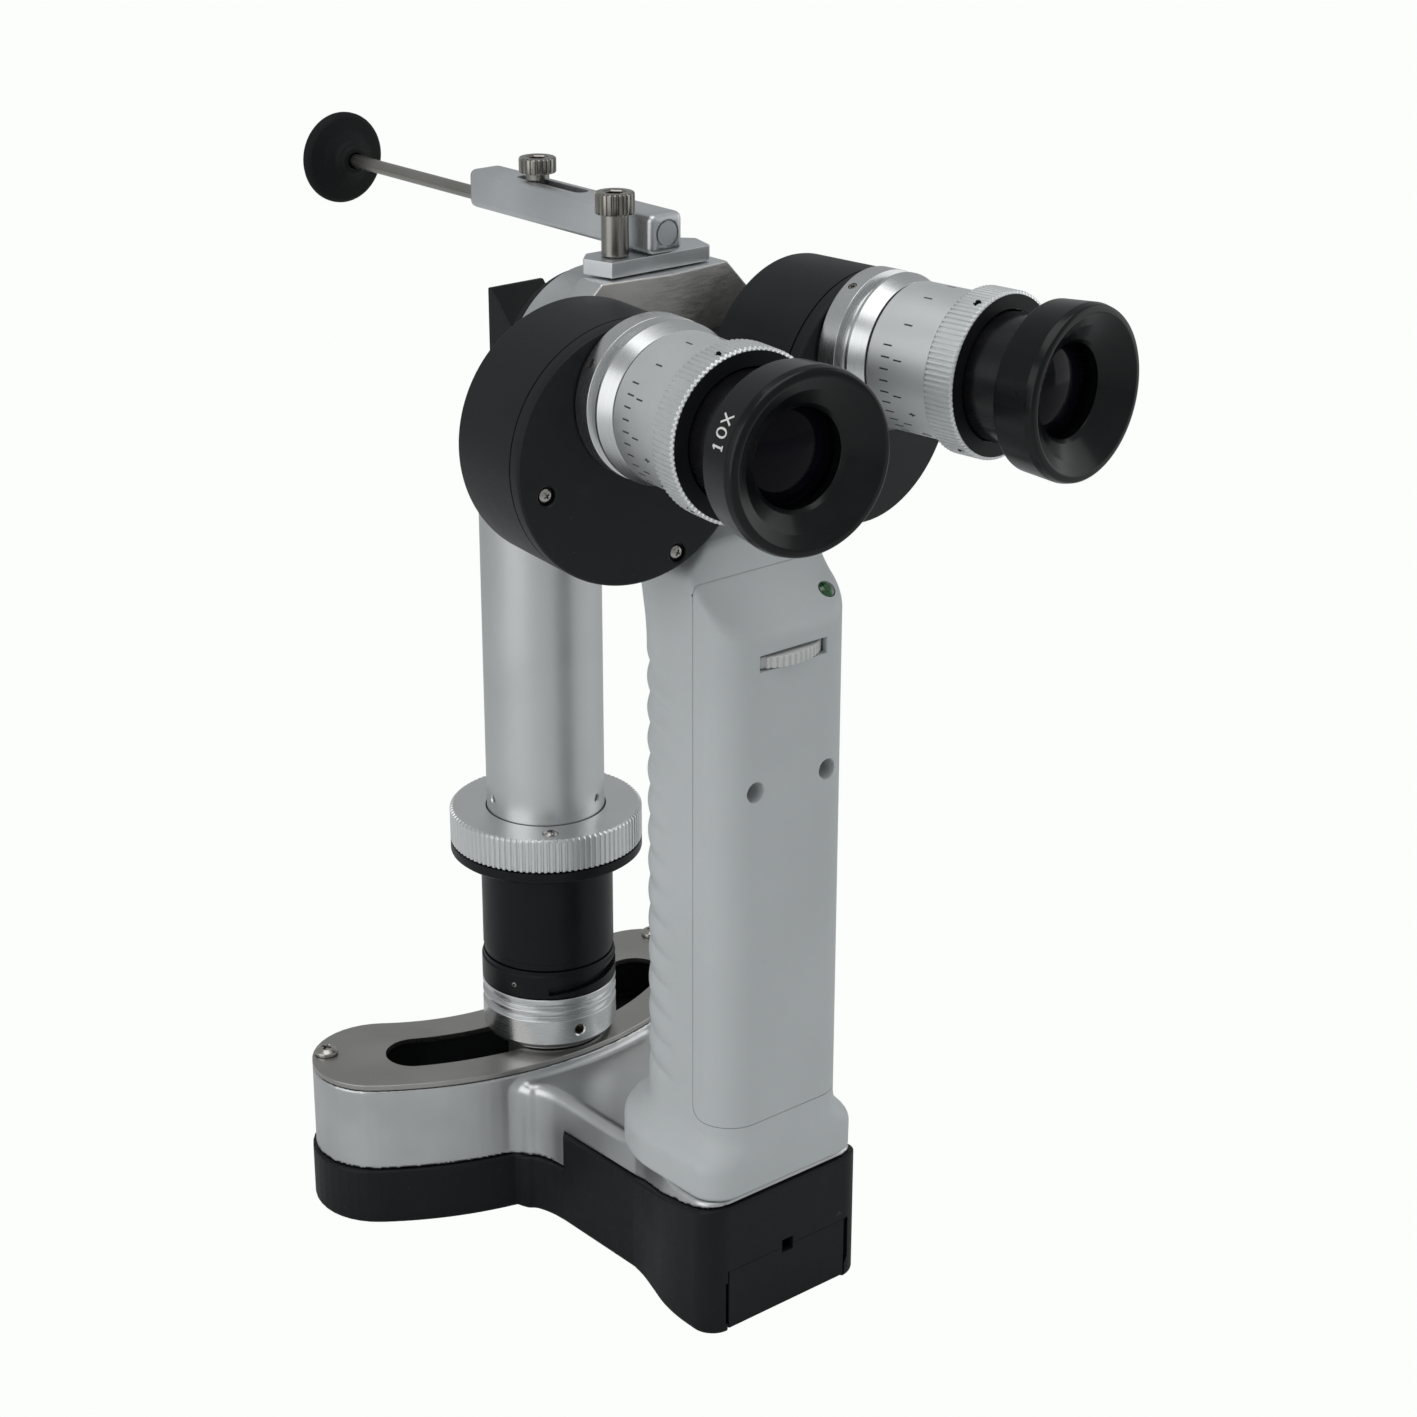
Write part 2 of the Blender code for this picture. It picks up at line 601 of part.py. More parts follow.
# ---------------------------------------------------------------- microscope
def pivot_frame(side):
    """Origin where the tube axes meet; +Z runs out along one tube, X is level and Y is up."""
    along = Vector((side * math.sin(TUBE_TILT), -math.cos(TUBE_TILT), 0.0))
    up = Vector((0.0, 0.0, 1.0))
    level = up.cross(along)
    frame = Matrix((level, up, along)).transposed().to_4x4()
    frame.translation = Vector((0.0, FOCUS_Y, OPTIC_Z)) * MM
    return frame


def build_head():
    outline = [(-16.5, 226.0), (-26.0, 216.5), (-26.0, 188.0), (-15.0, 177.0), (-11.0, 169.9)]
    outline += [(-x, z) for x, z in reversed(outline)]
    head = extruded("head_body", outline, 37.0, 52.0, "silver", FRONT_VIEW)
    rise = 35.0 * math.tan(TUBE_TILT)
    ridge = -FACET_Y
    facets = extruded(
        "head_facets",
        [(-35.0, -70.0), (35.0, -70.0), (35.0, ridge + rise), (0.0, ridge), (-35.0, ridge + rise)],
        150.0, 250.0,
    )
    dome = disc("head_dome", 22.0, 18.0, 40.0, frame=at(0.0, 0.0, DOME_Z) @ DOME_AXIS)
    join(head, dome)
    cut(head, facets)
    for side, label in ((-1, "left"), (1, "right")):
        frame = pivot_frame(side)
        cut(head, disc(f"head_bore_{label}", 7.2, 70.0, 120.0, frame=frame, steps=24))
    cut(head, disc("head_thread", 1.7, 218.0, 240.0, frame=at(*MOUNT_KNOB), steps=12))

    cell = turned(
        "objective_cell", [(0.0, -14.6), (19.6, -14.6), (20.5, -15.4), (20.5, -17.7), (0.0, -17.7)],
        "black", at(0.0, 0.0, DOME_Z) @ CELL_AXIS,
    )
    for side, label in ((-1, "left"), (1, "right")):
        frame = at(side * 9.6, 0.0, OPTIC_Z) @ CELL_AXIS
        cut(cell, disc(f"cell_bore_{label}", 6.9, -30.0, 0.0, frame=frame, steps=24))
        turned(
            f"objective_lens_{label}",
            [(0.0, -15.0), (4.0, -15.2), (6.6, -15.8), (6.6, -17.4), (0.0, -17.4)],
            "glass", frame, 24,
        )


def build_tube(side, label):
    pivot = pivot_frame(side)
    drum_frame = pivot @ at(side * DRUM_OUT, 0.0, 0.0)
    eye_frame = pivot @ at(side * EYE_OUT, EYE_UP, 0.0)
    housing_rear = DRUM_REAR - COVER_THICK - GAP

    # The housing's origin is on its pivot, so its round body is joined in from the side.
    drum = turned(
        f"drum_{label}",
        [(8.0, DRUM_FRONT + 1.5), (12.5, DRUM_FRONT + 1.5), (12.5, FACET_PLANE + GAP),
         (8.0, FACET_PLANE + GAP)],
        "black", pivot, 24,
    )
    body = turned(
        f"drum_body_{label}",
        [(0.0, housing_rear), (DRUM_R, housing_rear), (DRUM_R, DRUM_FRONT + 0.8),
         (DRUM_R - 0.8, DRUM_FRONT), (0.0, DRUM_FRONT)],
        None, drum_frame, BIG_STEPS,
    )
    hollow = disc(f"drum_hollow_{label}", DRUM_R - 2.2, DRUM_FRONT + 2.4, 160.0, None, drum_frame, BIG_STEPS)
    light = disc(f"drum_light_{label}", 7.9, 100.0, DRUM_FRONT + 5.0, frame=pivot, steps=24)
    posts = []
    bores = []
    sinks = []
    for index, (out, up) in enumerate(DRUM_SCREWS):
        spot = pivot @ at(side * out, up, 0.0)
        key = f"{label}_{index}"
        posts.append(disc(f"drum_post_{key}", 3.0, DRUM_FRONT, 165.0, frame=spot, steps=12))
        bores.append(disc(f"drum_bore_{key}", 1.2, DRUM_REAR - 12.0, 160.0, frame=spot, steps=12))
        sinks.append(disc(f"drum_sink_{key}", 1.95, DRUM_REAR - 1.3, 160.0, frame=spot, steps=16))
        seat = spot @ at(0.0, 0.0, DRUM_REAR - 1.2)
        screw(f"drum_screw_{key}", seat, 1.5, 0.9, 0.9, 8.0)
    cut(hollow, *posts)
    join(drum, body)
    cut(drum, hollow, *bores, light)

    cover = turned(
        f"drum_cover_{label}",
        [(0.0, DRUM_REAR), (DRUM_R - 1.0, DRUM_REAR), (DRUM_R, DRUM_REAR - 0.8),
         (DRUM_R, DRUM_REAR - COVER_THICK), (0.0, DRUM_REAR - COVER_THICK)],
        "black", drum_frame, BIG_STEPS,
    )
    seat_hole = disc(f"cover_hole_{label}", 12.8, 130.0, 150.0, frame=eye_frame, steps=24)
    cut(cover, seat_hole, *bores, *sinks)

    turn = Matrix.Rotation(side * math.atan2(EYE_UP, EYE_OUT), 4, "Z")
    middle = pivot @ at(side * EYE_OUT / 2, EYE_UP / 2, 0.0) @ turn
    box(f"prism_{label}", (-14.0, -6.5, 121.5), (14.0, 6.5, 136.5), "clear", middle)

    rim = eye_frame @ at(0.0, 0.0, EYE_PLANE)
    turned(
        f"eyepiece_collar_{label}",
        [(13.3, -43.9), (14.9, -43.9), (16.2, -47.4), (16.2, -48.1), (14.3, -48.7), (14.3, -50.2),
         (16.3, -50.8), (16.3, -55.1), (12.5, -55.1), (12.5, -58.2), (11.2, -58.2), (11.2, -54.0),
         (13.3, -54.0)],
        "silver", rim,
    )
    turned(
        f"diopter_ring_{label}",
        [(13.3, -20.3), (16.5, -20.3), (17.0, -20.8), (17.0, -27.1), (16.5, -27.6), (15.2, -27.6),
         (15.2, -43.1), (14.7, -43.6), (13.3, -43.6)],
        "silver", rim,
    )
    turned(
        f"eyepiece_barrel_{label}",
        [(11.2, -6.7), (13.0, -6.7), (13.0, -50.5), (11.2, -50.5)], "black", rim,
    )
    turned(
        f"eyecup_{label}",
        [(16.6, -0.3), (17.4, 0.0), (18.0, -0.8), (17.3, -9.6), (16.6, -10.3), (13.3, -10.3),
         (13.3, -6.4), (9.9, -6.4), (9.9, -5.2)],
        "gloss", rim, BIG_STEPS,
    )
    turned(
        f"eye_lens_{label}",
        [(0.0, -7.2), (6.0, -7.7), (10.9, -9.0), (10.9, -11.0), (0.0, -11.0)], "glass", rim, 24,
    )


# ---------------------------------------------------------------- forehead rest
def build_rest():
    half, rear, front = 15.0, -43.2, -33.0
    outline = [
        (-half + 2.0, rear), (half - 2.0, rear), (half, front - 3.2), (half - 3.2, front),
        (-half + 3.2, front), (-half, front - 3.2),
    ]
    plate = extruded("rest_plate", outline, 226.3, 229.6, "silver")
    cut(plate, disc("plate_thread", 1.8, 220.0, 240.0, frame=at(*MOUNT_KNOB), steps=12))

    low, high = ARM_Z
    arm = box("rest_arm", (-ARM_HALF, ARM_REAR, low), (ARM_HALF, ARM_FRONT, high), "silver", bevel=1.6)
    bore_axis = at(0.0, 0.0, REST_ROD_Z) @ CELL_AXIS
    bore = disc("arm_bore", 1.8, -20.0, 30.0, frame=bore_axis, steps=16)
    slot_ends = [disc(f"arm_slot_end_{i}", 1.7, REST_ROD_Z, 245.0, frame=at(0.0, y), steps=16)
                 for i, y in enumerate((-16.3, 2.8))]
    slot = box("arm_slot", (-1.7, -16.3, REST_ROD_Z), (1.7, 2.8, 245.0))
    plug_axis = at(0.0, 0.0, 234.1) @ DOME_AXIS
    plug_groove = turned("plug_groove", [(2.5, 50.0), (2.9, 50.0), (2.9, 44.2), (2.5, 44.2)],
                         None, plug_axis, 24)
    cut(arm, bore, slot, *slot_ends, plug_groove)

    disc("rest_rod", 1.5, -4.5, 70.9, "steel", bore_axis, 16)
    turned(
        "rest_pad",
        [(0.0, 75.2), (9.2, 75.2), (10.4, 74.0), (10.4, 72.6), (9.4, 71.8), (4.4, 71.4), (3.2, 68.0),
         (1.8, 68.0), (1.8, 71.2), (0.0, 71.2)],
        "black", bore_axis,
    )
    clamp = turned(
        "rod_clamp_knob",
        [(0.0, 243.2), (3.5, 243.2), (4.0, 242.7), (4.0, 240.2), (3.6, 239.8), (2.5, 239.8),
         (2.5, 238.5), (1.3, 238.5), (1.3, 233.6), (0.0, 233.6)],
        "steel", at(0.0, CLAMP_Y, 0.0), 24,
    )
    mount = turned(
        "mount_knob",
        [(0.0, 242.8), (3.6, 242.8), (4.1, 242.3), (4.1, 238.7), (3.7, 238.3), (2.8, 238.3),
         (2.8, 229.9), (1.5, 229.9), (1.5, 219.0), (0.0, 219.0)],
        "steel", at(*MOUNT_KNOB, 0.0), 24,
    )
    cut(clamp, disc("clamp_socket", 2.1, 241.0, 246.0, frame=at(0.0, CLAMP_Y), steps=6))
    cut(mount, disc("mount_socket", 2.1, 240.4, 246.0, frame=at(*MOUNT_KNOB), steps=6))


build_foot()
build_grip()
build_column()
build_head()
for tube_side, tube_label in ((-1, "left"), (1, "right")):
    build_tube(tube_side, tube_label)
build_rest()
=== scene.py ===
"""Looks for the handheld slit lamp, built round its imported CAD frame. Lengths here are in millimetres."""

import json
import math

import bmesh
import bpy
import numpy as np
from mathutils import Matrix, Vector


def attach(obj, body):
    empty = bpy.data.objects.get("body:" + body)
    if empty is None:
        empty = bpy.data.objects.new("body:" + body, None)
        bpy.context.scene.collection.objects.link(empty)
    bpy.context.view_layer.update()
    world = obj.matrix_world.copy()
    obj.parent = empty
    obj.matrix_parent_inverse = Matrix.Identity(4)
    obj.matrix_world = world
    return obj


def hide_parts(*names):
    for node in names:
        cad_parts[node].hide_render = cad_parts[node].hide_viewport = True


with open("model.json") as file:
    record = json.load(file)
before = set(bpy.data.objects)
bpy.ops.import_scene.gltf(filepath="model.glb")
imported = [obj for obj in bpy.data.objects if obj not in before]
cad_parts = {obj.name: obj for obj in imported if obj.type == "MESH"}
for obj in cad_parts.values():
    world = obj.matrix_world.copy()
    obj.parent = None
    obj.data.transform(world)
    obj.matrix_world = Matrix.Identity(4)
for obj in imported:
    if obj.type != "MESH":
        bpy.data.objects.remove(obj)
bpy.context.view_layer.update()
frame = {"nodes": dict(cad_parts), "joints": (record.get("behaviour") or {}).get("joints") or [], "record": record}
NODES = frame["nodes"]
RECORD = frame["record"]
BODY_OF = {node: body for body, nodes in RECORD["behaviour"]["bodies"].items() for node in nodes}
SLOT_OF = {part["node"]: part["material_slot"] for part in RECORD["subparts"]}
JOINTS = {joint["name"]: joint for joint in frame["joints"]}
MM = 0.001
TAU = 2.0 * math.pi


# ------------------------------------------------------------ places read from the frame
def span(node, frame_matrix=None):
    """Lowest and highest corner of a CAD node, in millimetres, in a frame of its own if one is given."""
    inverse = (frame_matrix or Matrix()).inverted()
    points = np.array([inverse @ vert.co for vert in NODES[node].data.vertices]) / MM
    return points.min(0), points.max(0)


def middle_of(node, frame_matrix=None):
    low, high = span(node, frame_matrix)
    return (low + high) / 2


def at(x=0.0, y=0.0, z=0.0):
    return Matrix.Translation(Vector((x, y, z)) * MM)


def turn(degrees, axis):
    return Matrix.Rotation(math.radians(degrees), 4, axis)


# Frames for outlines drawn from the front or the side, and for turned pieces that lie along Y.
FRONT_VIEW = Matrix(((1, 0, 0, 0), (0, 0, -1, 0), (0, 1, 0, 0), (0, 0, 0, 1)))
SIDE_VIEW = Matrix(((0, 0, 1, 0), (1, 0, 0, 0), (0, 1, 0, 0), (0, 0, 0, 1)))
REARWARD = turn(90.0, "X")
FORWARD = turn(-90.0, "X")


# ------------------------------------------------------------ materials
class Shader:
    """A material whose nodes are added one call at a time."""

    def __init__(self, name):
        self.material = bpy.data.materials.new(name)
        self.material.use_nodes = True
        self.tree = self.material.node_tree
        self.main = self.tree.nodes["Principled BSDF"]
        self.place = self.add("ShaderNodeTexCoord").outputs["Object"]

    def set(self, made, inputs):
        for key, value in inputs.items():
            if isinstance(value, bpy.types.NodeSocket):
                self.tree.links.new(value, made.inputs[key])
            else:
                made.inputs[key].default_value = value

    def add(self, kind, inputs=None, **props):
        made = self.tree.nodes.new(kind)
        for key, value in props.items():
            setattr(made, key, value)
        self.set(made, inputs or {})
        return made

    def scaled(self, vector, scale):
        made = self.add("ShaderNodeVectorMath", {0: vector, 1: scale}, operation="MULTIPLY")
        return made.outputs[0]

    def noise(self, scale, detail=3.0, stretch=None, rough=0.5, vector=None):
        vector = self.place if vector is None else vector
        if stretch is not None:
            vector = self.scaled(vector, stretch)
        made = self.add("ShaderNodeTexNoise", {"Vector": vector, "Scale": scale, "Detail": detail,
                                               "Roughness": rough})
        return made.outputs["Fac"]

    def remap(self, value, low, high, new_low=0.0, new_high=1.0):
        made = self.add("ShaderNodeMapRange", {"Value": value, "From Min": low, "From Max": high,
                                               "To Min": new_low, "To Max": new_high})
        return made.outputs[0]

    def mix(self, factor, one, two):
        made = self.add("ShaderNodeMix", data_type="RGBA")
        for index, value in ((0, factor), (6, one), (7, two)):
            if isinstance(value, bpy.types.NodeSocket):
                self.tree.links.new(value, made.inputs[index])
            else:
                made.inputs[index].default_value = value if index == 0 else (*value[:3], 1.0)
        return made.outputs[2]

    def bump(self, height, strength, distance):
        inputs = {"Height": height, "Strength": strength, "Distance": distance}
        return self.add("ShaderNodeBump", inputs).outputs[0]

    def math(self, operation, one, two):
        return self.add("ShaderNodeMath", {0: one, 1: two}, operation=operation).outputs[0]

    def finish(self, **inputs):
        self.set(self.main, {key.replace("_", " "): value for key, value in inputs.items()})
        return self.material


def turned_radius(shader):
    """Distance from the piece's own Z axis, and its height."""
    parts = shader.add("ShaderNodeSeparateXYZ", {0: shader.place})
    squares = shader.math("ADD", shader.math("MULTIPLY", parts.outputs[0], parts.outputs[0]),
                          shader.math("MULTIPLY", parts.outputs[1], parts.outputs[1]))
    return shader.math("SQRT", squares, 0.5), parts.outputs[2]


# Noise scale, detail and stretch of each kind of machining.
GRAINS = {
    "brushed": (2600.0, 2.0, (0.035, 1.0, 1.0)),
    "upright": (2600.0, 2.0, (1.0, 1.0, 0.02)),
    "cast": (4200.0, 3.0),
}


def metal(name, colour, rough, grain="cast", tint=0.04, bump=0.05):
    """Bare metal. grain: turned round the axis, brushed or upright lines, or a fine blasted cast skin."""
    shader = Shader(name)
    broad = shader.noise(55.0, 2.0)
    if grain == "turned":
        radius, height = turned_radius(shader)
        lines = shader.add("ShaderNodeCombineXYZ", {0: radius, 1: height, 2: 0.0}).outputs[0]
        fine = shader.noise(7000.0, 2.0, vector=lines)
    else:
        fine = shader.noise(*GRAINS[grain])
    speck = shader.remap(shader.noise(900.0, 4.0, rough=0.7), 0.62, 0.78)
    dark = tuple(c * (1.0 - 2.2 * tint) for c in colour)
    light = tuple(min(1.0, c * (1.0 + tint)) for c in colour)
    base = shader.mix(shader.remap(broad, 0.35, 0.65), dark, light)
    base = shader.mix(shader.math("MULTIPLY", speck, 0.25), base, tuple(c * 0.7 for c in colour))
    roughness = shader.math("ADD", shader.remap(fine, 0.2, 0.8, rough * 0.78, rough * 1.15),
                            shader.remap(broad, 0.3, 0.7, -0.02, 0.05))
    return shader.finish(Base_Color=base, Metallic=1.0, Roughness=roughness,
                         Normal=shader.bump(fine, bump, 0.00006))


def black_coat(name, colour, rough, pebble=3800.0, bump=0.12, dust=0.2, shine=0.5):
    """Black anodising, paint or moulding with a fine skin, faint rubbing and sparse dust."""
    shader = Shader(name)
    skin = shader.noise(pebble, 2.0)
    cloud = shader.noise(70.0, 3.0)
    scuff = shader.remap(shader.noise(160.0, 5.0, (1.0, 1.0, 0.25), 0.75), 0.60, 0.80)
    motes = shader.add("ShaderNodeTexVoronoi", {"Vector": shader.place, "Scale": 260.0}).outputs["Distance"]
    motes = shader.math("MULTIPLY", shader.remap(motes, 0.035, 0.012), dust)
    pale = tuple(min(1.0, c * 1.8 + 0.003) for c in colour)
    base = shader.mix(shader.remap(cloud, 0.35, 0.7, 0.0, 0.35), colour, pale)
    base = shader.mix(shader.math("MULTIPLY", scuff, 0.2), base, tuple(c * 2.5 + 0.012 for c in colour))
    base = shader.mix(motes, base, (0.42, 0.42, 0.40))
    roughness = shader.math("ADD", shader.remap(skin, 0.3, 0.7, rough * 0.9, rough * 1.1),
                            shader.remap(cloud, 0.3, 0.7, -0.03, 0.06))
    return shader.finish(Base_Color=base, Roughness=roughness, Specular_IOR_Level=shine,
                         Normal=shader.bump(skin, bump, 0.00008))


def moulded(name, colour, rough, soil=0.10):
    """Light moulded plastic with a spark-eroded skin, slight translucency and faint handling marks."""
    shader = Shader(name)
    skin = shader.noise(2600.0, 3.0)
    cloud = shader.noise(38.0, 3.0)
    mark = shader.remap(shader.noise(210.0, 6.0, (1.0, 1.0, 0.5), 0.72), 0.60, 0.82)
    cool = tuple(c * 0.955 for c in colour)
    base = shader.mix(shader.remap(cloud, 0.35, 0.65), cool, colour)
    base = shader.mix(shader.math("MULTIPLY", mark, soil), base, tuple(c * 0.72 for c in colour))
    roughness = shader.remap(skin, 0.25, 0.75, rough * 0.88, rough * 1.14)
    return shader.finish(Base_Color=base, Roughness=roughness, Subsurface_Weight=0.06,
                         Subsurface_Scale=0.001, Normal=shader.bump(skin, 0.10, 0.00008))


def gloss(name, colour, rough, coat, shine):
    """Polished black with fingerprints in its shine."""
    shader = Shader(name)
    smear = shader.noise(120.0, 4.0, (1.0, 1.0, 0.4), 0.65)
    fine = shader.noise(1500.0, 2.0)
    base = shader.mix(shader.remap(smear, 0.4, 0.7), colour, tuple(c * 1.3 + 0.001 for c in colour))
    roughness = shader.remap(smear, 0.35, 0.7, rough * 0.85, rough * 1.25)
    return shader.finish(Base_Color=base, Roughness=roughness, Coat_Weight=coat, Coat_Roughness=0.12,
                         Specular_IOR_Level=shine, Normal=shader.bump(fine, 0.03, 0.00005))


def ink(name, colour):
    """Screen-printed ink, a little patchy."""
    shader = Shader(name)
    patchy = shader.noise(1400.0, 3.0)
    worn = tuple(c * 0.6 + 0.03 for c in colour)
    base = shader.mix(shader.remap(patchy, 0.4, 0.75, 0.0, 0.45), colour, worn)
    return shader.finish(Base_Color=base, Roughness=shader.remap(patchy, 0.3, 0.7, 0.44, 0.66))


# ------------------------------------------------------------ mesh building
def link(name, mesh, matrix=None):
    made = bpy.data.objects.new(name, mesh)
    made.matrix_world = matrix or Matrix()
    bpy.context.scene.collection.objects.link(made)
    return made


def from_faces(name, points, faces, matrix=None):
    """An object from points in millimetres."""
    mesh = bpy.data.meshes.new(name)
    mesh.from_pydata(np.asarray(points, float) * MM, [], [list(map(int, face)) for face in faces])
    mesh.validate()
    bm = bmesh.new()
    bm.from_mesh(mesh)
    bmesh.ops.recalc_face_normals(bm, faces=bm.faces)
    bm.to_mesh(mesh)
    bm.free()
    return link(name, mesh, matrix)


def eased(points, radius, steps=3):
    """An outline with its corners rounded. A third number on a point is its own radius."""
    closed = points[0][0] > 1e-9 or points[-1][0] > 1e-9
    made = []
    count = len(points)
    for index, point in enumerate(points):
        here = np.array(point[:2], float)
        own = point[2] if len(point) > 2 else radius
        if own <= 0.0 or here[0] < 1e-9 or (not closed and index in (0, count - 1)):
            made.append(here)
            continue
        before = np.array(points[index - 1][:2], float) - here
        after = np.array(points[(index + 1) % count][:2], float) - here
        len_a, len_b = np.linalg.norm(before), np.linalg.norm(after)
        cosine = np.clip(before @ after / (len_a * len_b), -1.0, 1.0)
        half = math.acos(cosine) / 2.0
        reach = min(own / math.tan(half) if half > 1e-3 else own, 0.45 * len_a, 0.45 * len_b)
        start, end = here + before / len_a * reach, here + after / len_b * reach
        for step in range(steps + 1):
            t = step / steps
            made.append((1 - t) ** 2 * start + 2 * t * (1 - t) * here + t * t * end)
    return made


def lathe(name, profile, matrix=None, steps=96, ease=0.18, ribs=None, corner_steps=3):
    """A profile of (radius, height) turned about the frame's Z.

    ribs: (count, depth, low, high, least radius) cuts straight knurling into points in that band.
    """
    points = eased(profile, ease, corner_steps)
    angles = np.arange(steps) * TAU / steps
    coordinates, rings = [], []
    for radius, height in points:
        if radius < 1e-6:
            rings.append([len(coordinates)])
            coordinates.append((0.0, 0.0, height))
            continue
        radii = np.full(steps, radius)
        if ribs and ribs[2] - 1e-6 <= height <= ribs[3] + 1e-6 and radius >= ribs[4]:
            wave = np.clip(1.15 * np.cos(ribs[0] * angles) + 0.1, 0.0, 1.0)
            radii = radii - ribs[1] * wave
        rings.append(list(range(len(coordinates), len(coordinates) + steps)))
        coordinates.extend(zip(radii * np.cos(angles), radii * np.sin(angles), np.full(steps, height)))
    pairs = list(zip(rings, rings[1:]))
    if len(rings[0]) > 1 or len(rings[-1]) > 1:
        pairs.append((rings[-1], rings[0]))
    faces = []
    for one, two in pairs:
        for i in range(steps):
            j = (i + 1) % steps
            if len(one) == 1:
                faces.append((one[0], two[i], two[j]))
            elif len(two) == 1:
                faces.append((one[i], two[0], one[j]))
            else:
                faces.append((one[i], two[i], two[j], one[j]))
    return from_faces(name, coordinates, faces, matrix)


def rod(name, radius, low, high, matrix=None, steps=48):
    return lathe(name, [(0.0, high), (radius, high), (radius, low), (0.0, low)], matrix, steps, 0.0)


def hole(wide, narrow, top, mouth, floor, matrix, steps=48, chamfer=0.4, tip=0.0):
    """A cutter for a round hole that widens at its mouth, with a flat or pointed floor."""
    profile = [(0.0, top), (wide, top), (wide, mouth), (narrow, mouth - chamfer), (narrow, floor),
               (0.0, floor - tip)]
    return lathe("hole", profile, matrix, steps, 0.0)


def prism(name, outline, low, high, matrix=None, bevel=0.0, segments=3, angle=30.0):
    """A flat outline pushed along the frame's Z."""
    count = len(outline)
    points = [(x, y, low) for x, y in outline] + [(x, y, high) for x, y in outline]
    faces = [tuple(range(count)), tuple(range(count, 2 * count))]
    faces += [(i, (i + 1) % count, count + (i + 1) % count, count + i) for i in range(count)]
    made = from_faces(name, points, faces, matrix)
    if bevel:
        add_bevel(made, bevel, segments, angle)
    return made


def block(name, low, high, matrix=None, bevel=0.0, segments=3):
    outline = [(low[0], low[1]), (high[0], low[1]), (high[0], high[1]), (low[0], high[1])]
    return prism(name, outline, low[2], high[2], matrix, bevel, segments)


def add_bevel(obj, width, segments=3, angle=30.0):
    made = obj.modifiers.new("bevel", "BEVEL")
    made.width = width * MM
    made.segments = segments
    made.limit_method = "ANGLE"
    made.angle_limit = math.radians(angle)
    made.use_clamp_overlap = True
    settle(obj)


def settle(obj):
    """Applies every modifier."""
    bpy.context.view_layer.update()
    graph = bpy.context.evaluated_depsgraph_get()
    mesh = bpy.data.meshes.new_from_object(obj.evaluated_get(graph), depsgraph=graph)
    obj.modifiers.clear()
    obj.data = mesh


def carve(obj, *cutters, mode="DIFFERENCE", finish=None):
    """Cuts or joins other objects into obj and removes them. Cut faces take the finish, if one is given."""
    for cutter in cutters:
        if finish is not None:
            cutter.data.materials.clear()
            cutter.data.materials.append(finish)
        made = obj.modifiers.new("boolean", "BOOLEAN")
        made.operation = mode
        made.solver = "EXACT"
        made.object = cutter
        made.material_mode = "TRANSFER" if finish is not None else "INDEX"
    settle(obj)
    for cutter in cutters:
        bpy.data.objects.remove(cutter)


def shade(obj, angle):
    """Smooth shading that keeps edges sharper than the angle."""
    mesh = obj.data
    mesh.polygons.foreach_set("use_smooth", np.ones(len(mesh.polygons), bool))
    mesh.set_sharp_from_angle(angle=math.radians(angle))
    weigh = obj.modifiers.new("weighted", "WEIGHTED_NORMAL")
    weigh.keep_sharp = True


def dress(obj, finish, node, angle=32.0, slot=None):
    """Gives a piece its finish and a node's body. With a slot named, the node's CAD part stays in view; without
    one, the CAD part is hidden and the piece stands for it."""
    if not obj.data.materials:
        obj.data.materials.append(finish)
    for index, material in enumerate(obj.data.materials):
        if material is None:
            obj.data.materials[index] = finish
    shade(obj, angle)
    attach(obj, BODY_OF[node])
    if slot is None:
        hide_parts(node)


def screw(name, seat, radius, height, node, length=2.0, slot=None):
    """A pan-head screw with a tapered cross recess, seated at the frame's origin with its head towards +Z."""
    shank = 0.45 * radius
    profile = [(0.0, height), (radius * 0.55, height * 0.97, 0.9), (radius, height * 0.5, 0.5),
               (radius, 0.0, 0.1), (shank, 0.0, 0.0), (shank, -length, 0.1), (0.0, -length)]
    made = lathe(name, profile, seat, 48, 0.1)
    long, thin = radius * 0.62, radius * 0.14
    wings = []
    for index in range(2):
        wing = block(f"{name}_wing_{index}", (-long, -thin, height * 0.25), (long, thin, height + 1.0),
                     seat @ turn(90.0 * index, "Z"))
        for vert in wing.data.vertices:
            if vert.co.z < height * 0.5 * MM:
                vert.co.x *= 0.45
                vert.co.y *= 0.7
        wings.append(wing)
    carve(made, *wings)
    dress(made, SCREW, node, slot=slot)


# ------------------------------------------------------------ curved solids from distance fields
def flat_distance(x, y, outline):
    """Signed distance to a closed outline, negative inside. Layers that repeat along Z are worked once."""
    if x.ndim == 3 and x.shape[2] > 1 and x[0, 0, 0] == x[0, 0, 1]:
        layer = flat_distance(x[:, :, 0], y[:, :, 0], outline)
        return np.broadcast_to(layer[:, :, None], x.shape)
    corners = np.array(outline, float)
    squared = np.full(x.shape, 1e12)
    inside = np.zeros(x.shape, bool)
    for (ax, ay), (bx, by) in zip(corners, np.roll(corners, -1, 0)):
        ex, ey = bx - ax, by - ay
        wx, wy = x - ax, y - ay
        t = np.clip((wx * ex + wy * ey) / (ex * ex + ey * ey), 0.0, 1.0)
        squared = np.minimum(squared, (wx - ex * t) ** 2 + (wy - ey * t) ** 2)
        if ay != by:
            crosses = ((ay > y) != (by > y)) & (x < ex * (y - ay) / ey + ax)
            inside ^= crosses
    distance = np.sqrt(squared)
    return np.where(inside, -distance, distance)


def both(a, b, radius):
    """Where two solids overlap, with the edge between them rounded."""
    over_a, over_b = np.maximum(radius + a, 0.0), np.maximum(radius + b, 0.0)
    return np.minimum(-radius, np.maximum(a, b)) + np.hypot(over_a, over_b)


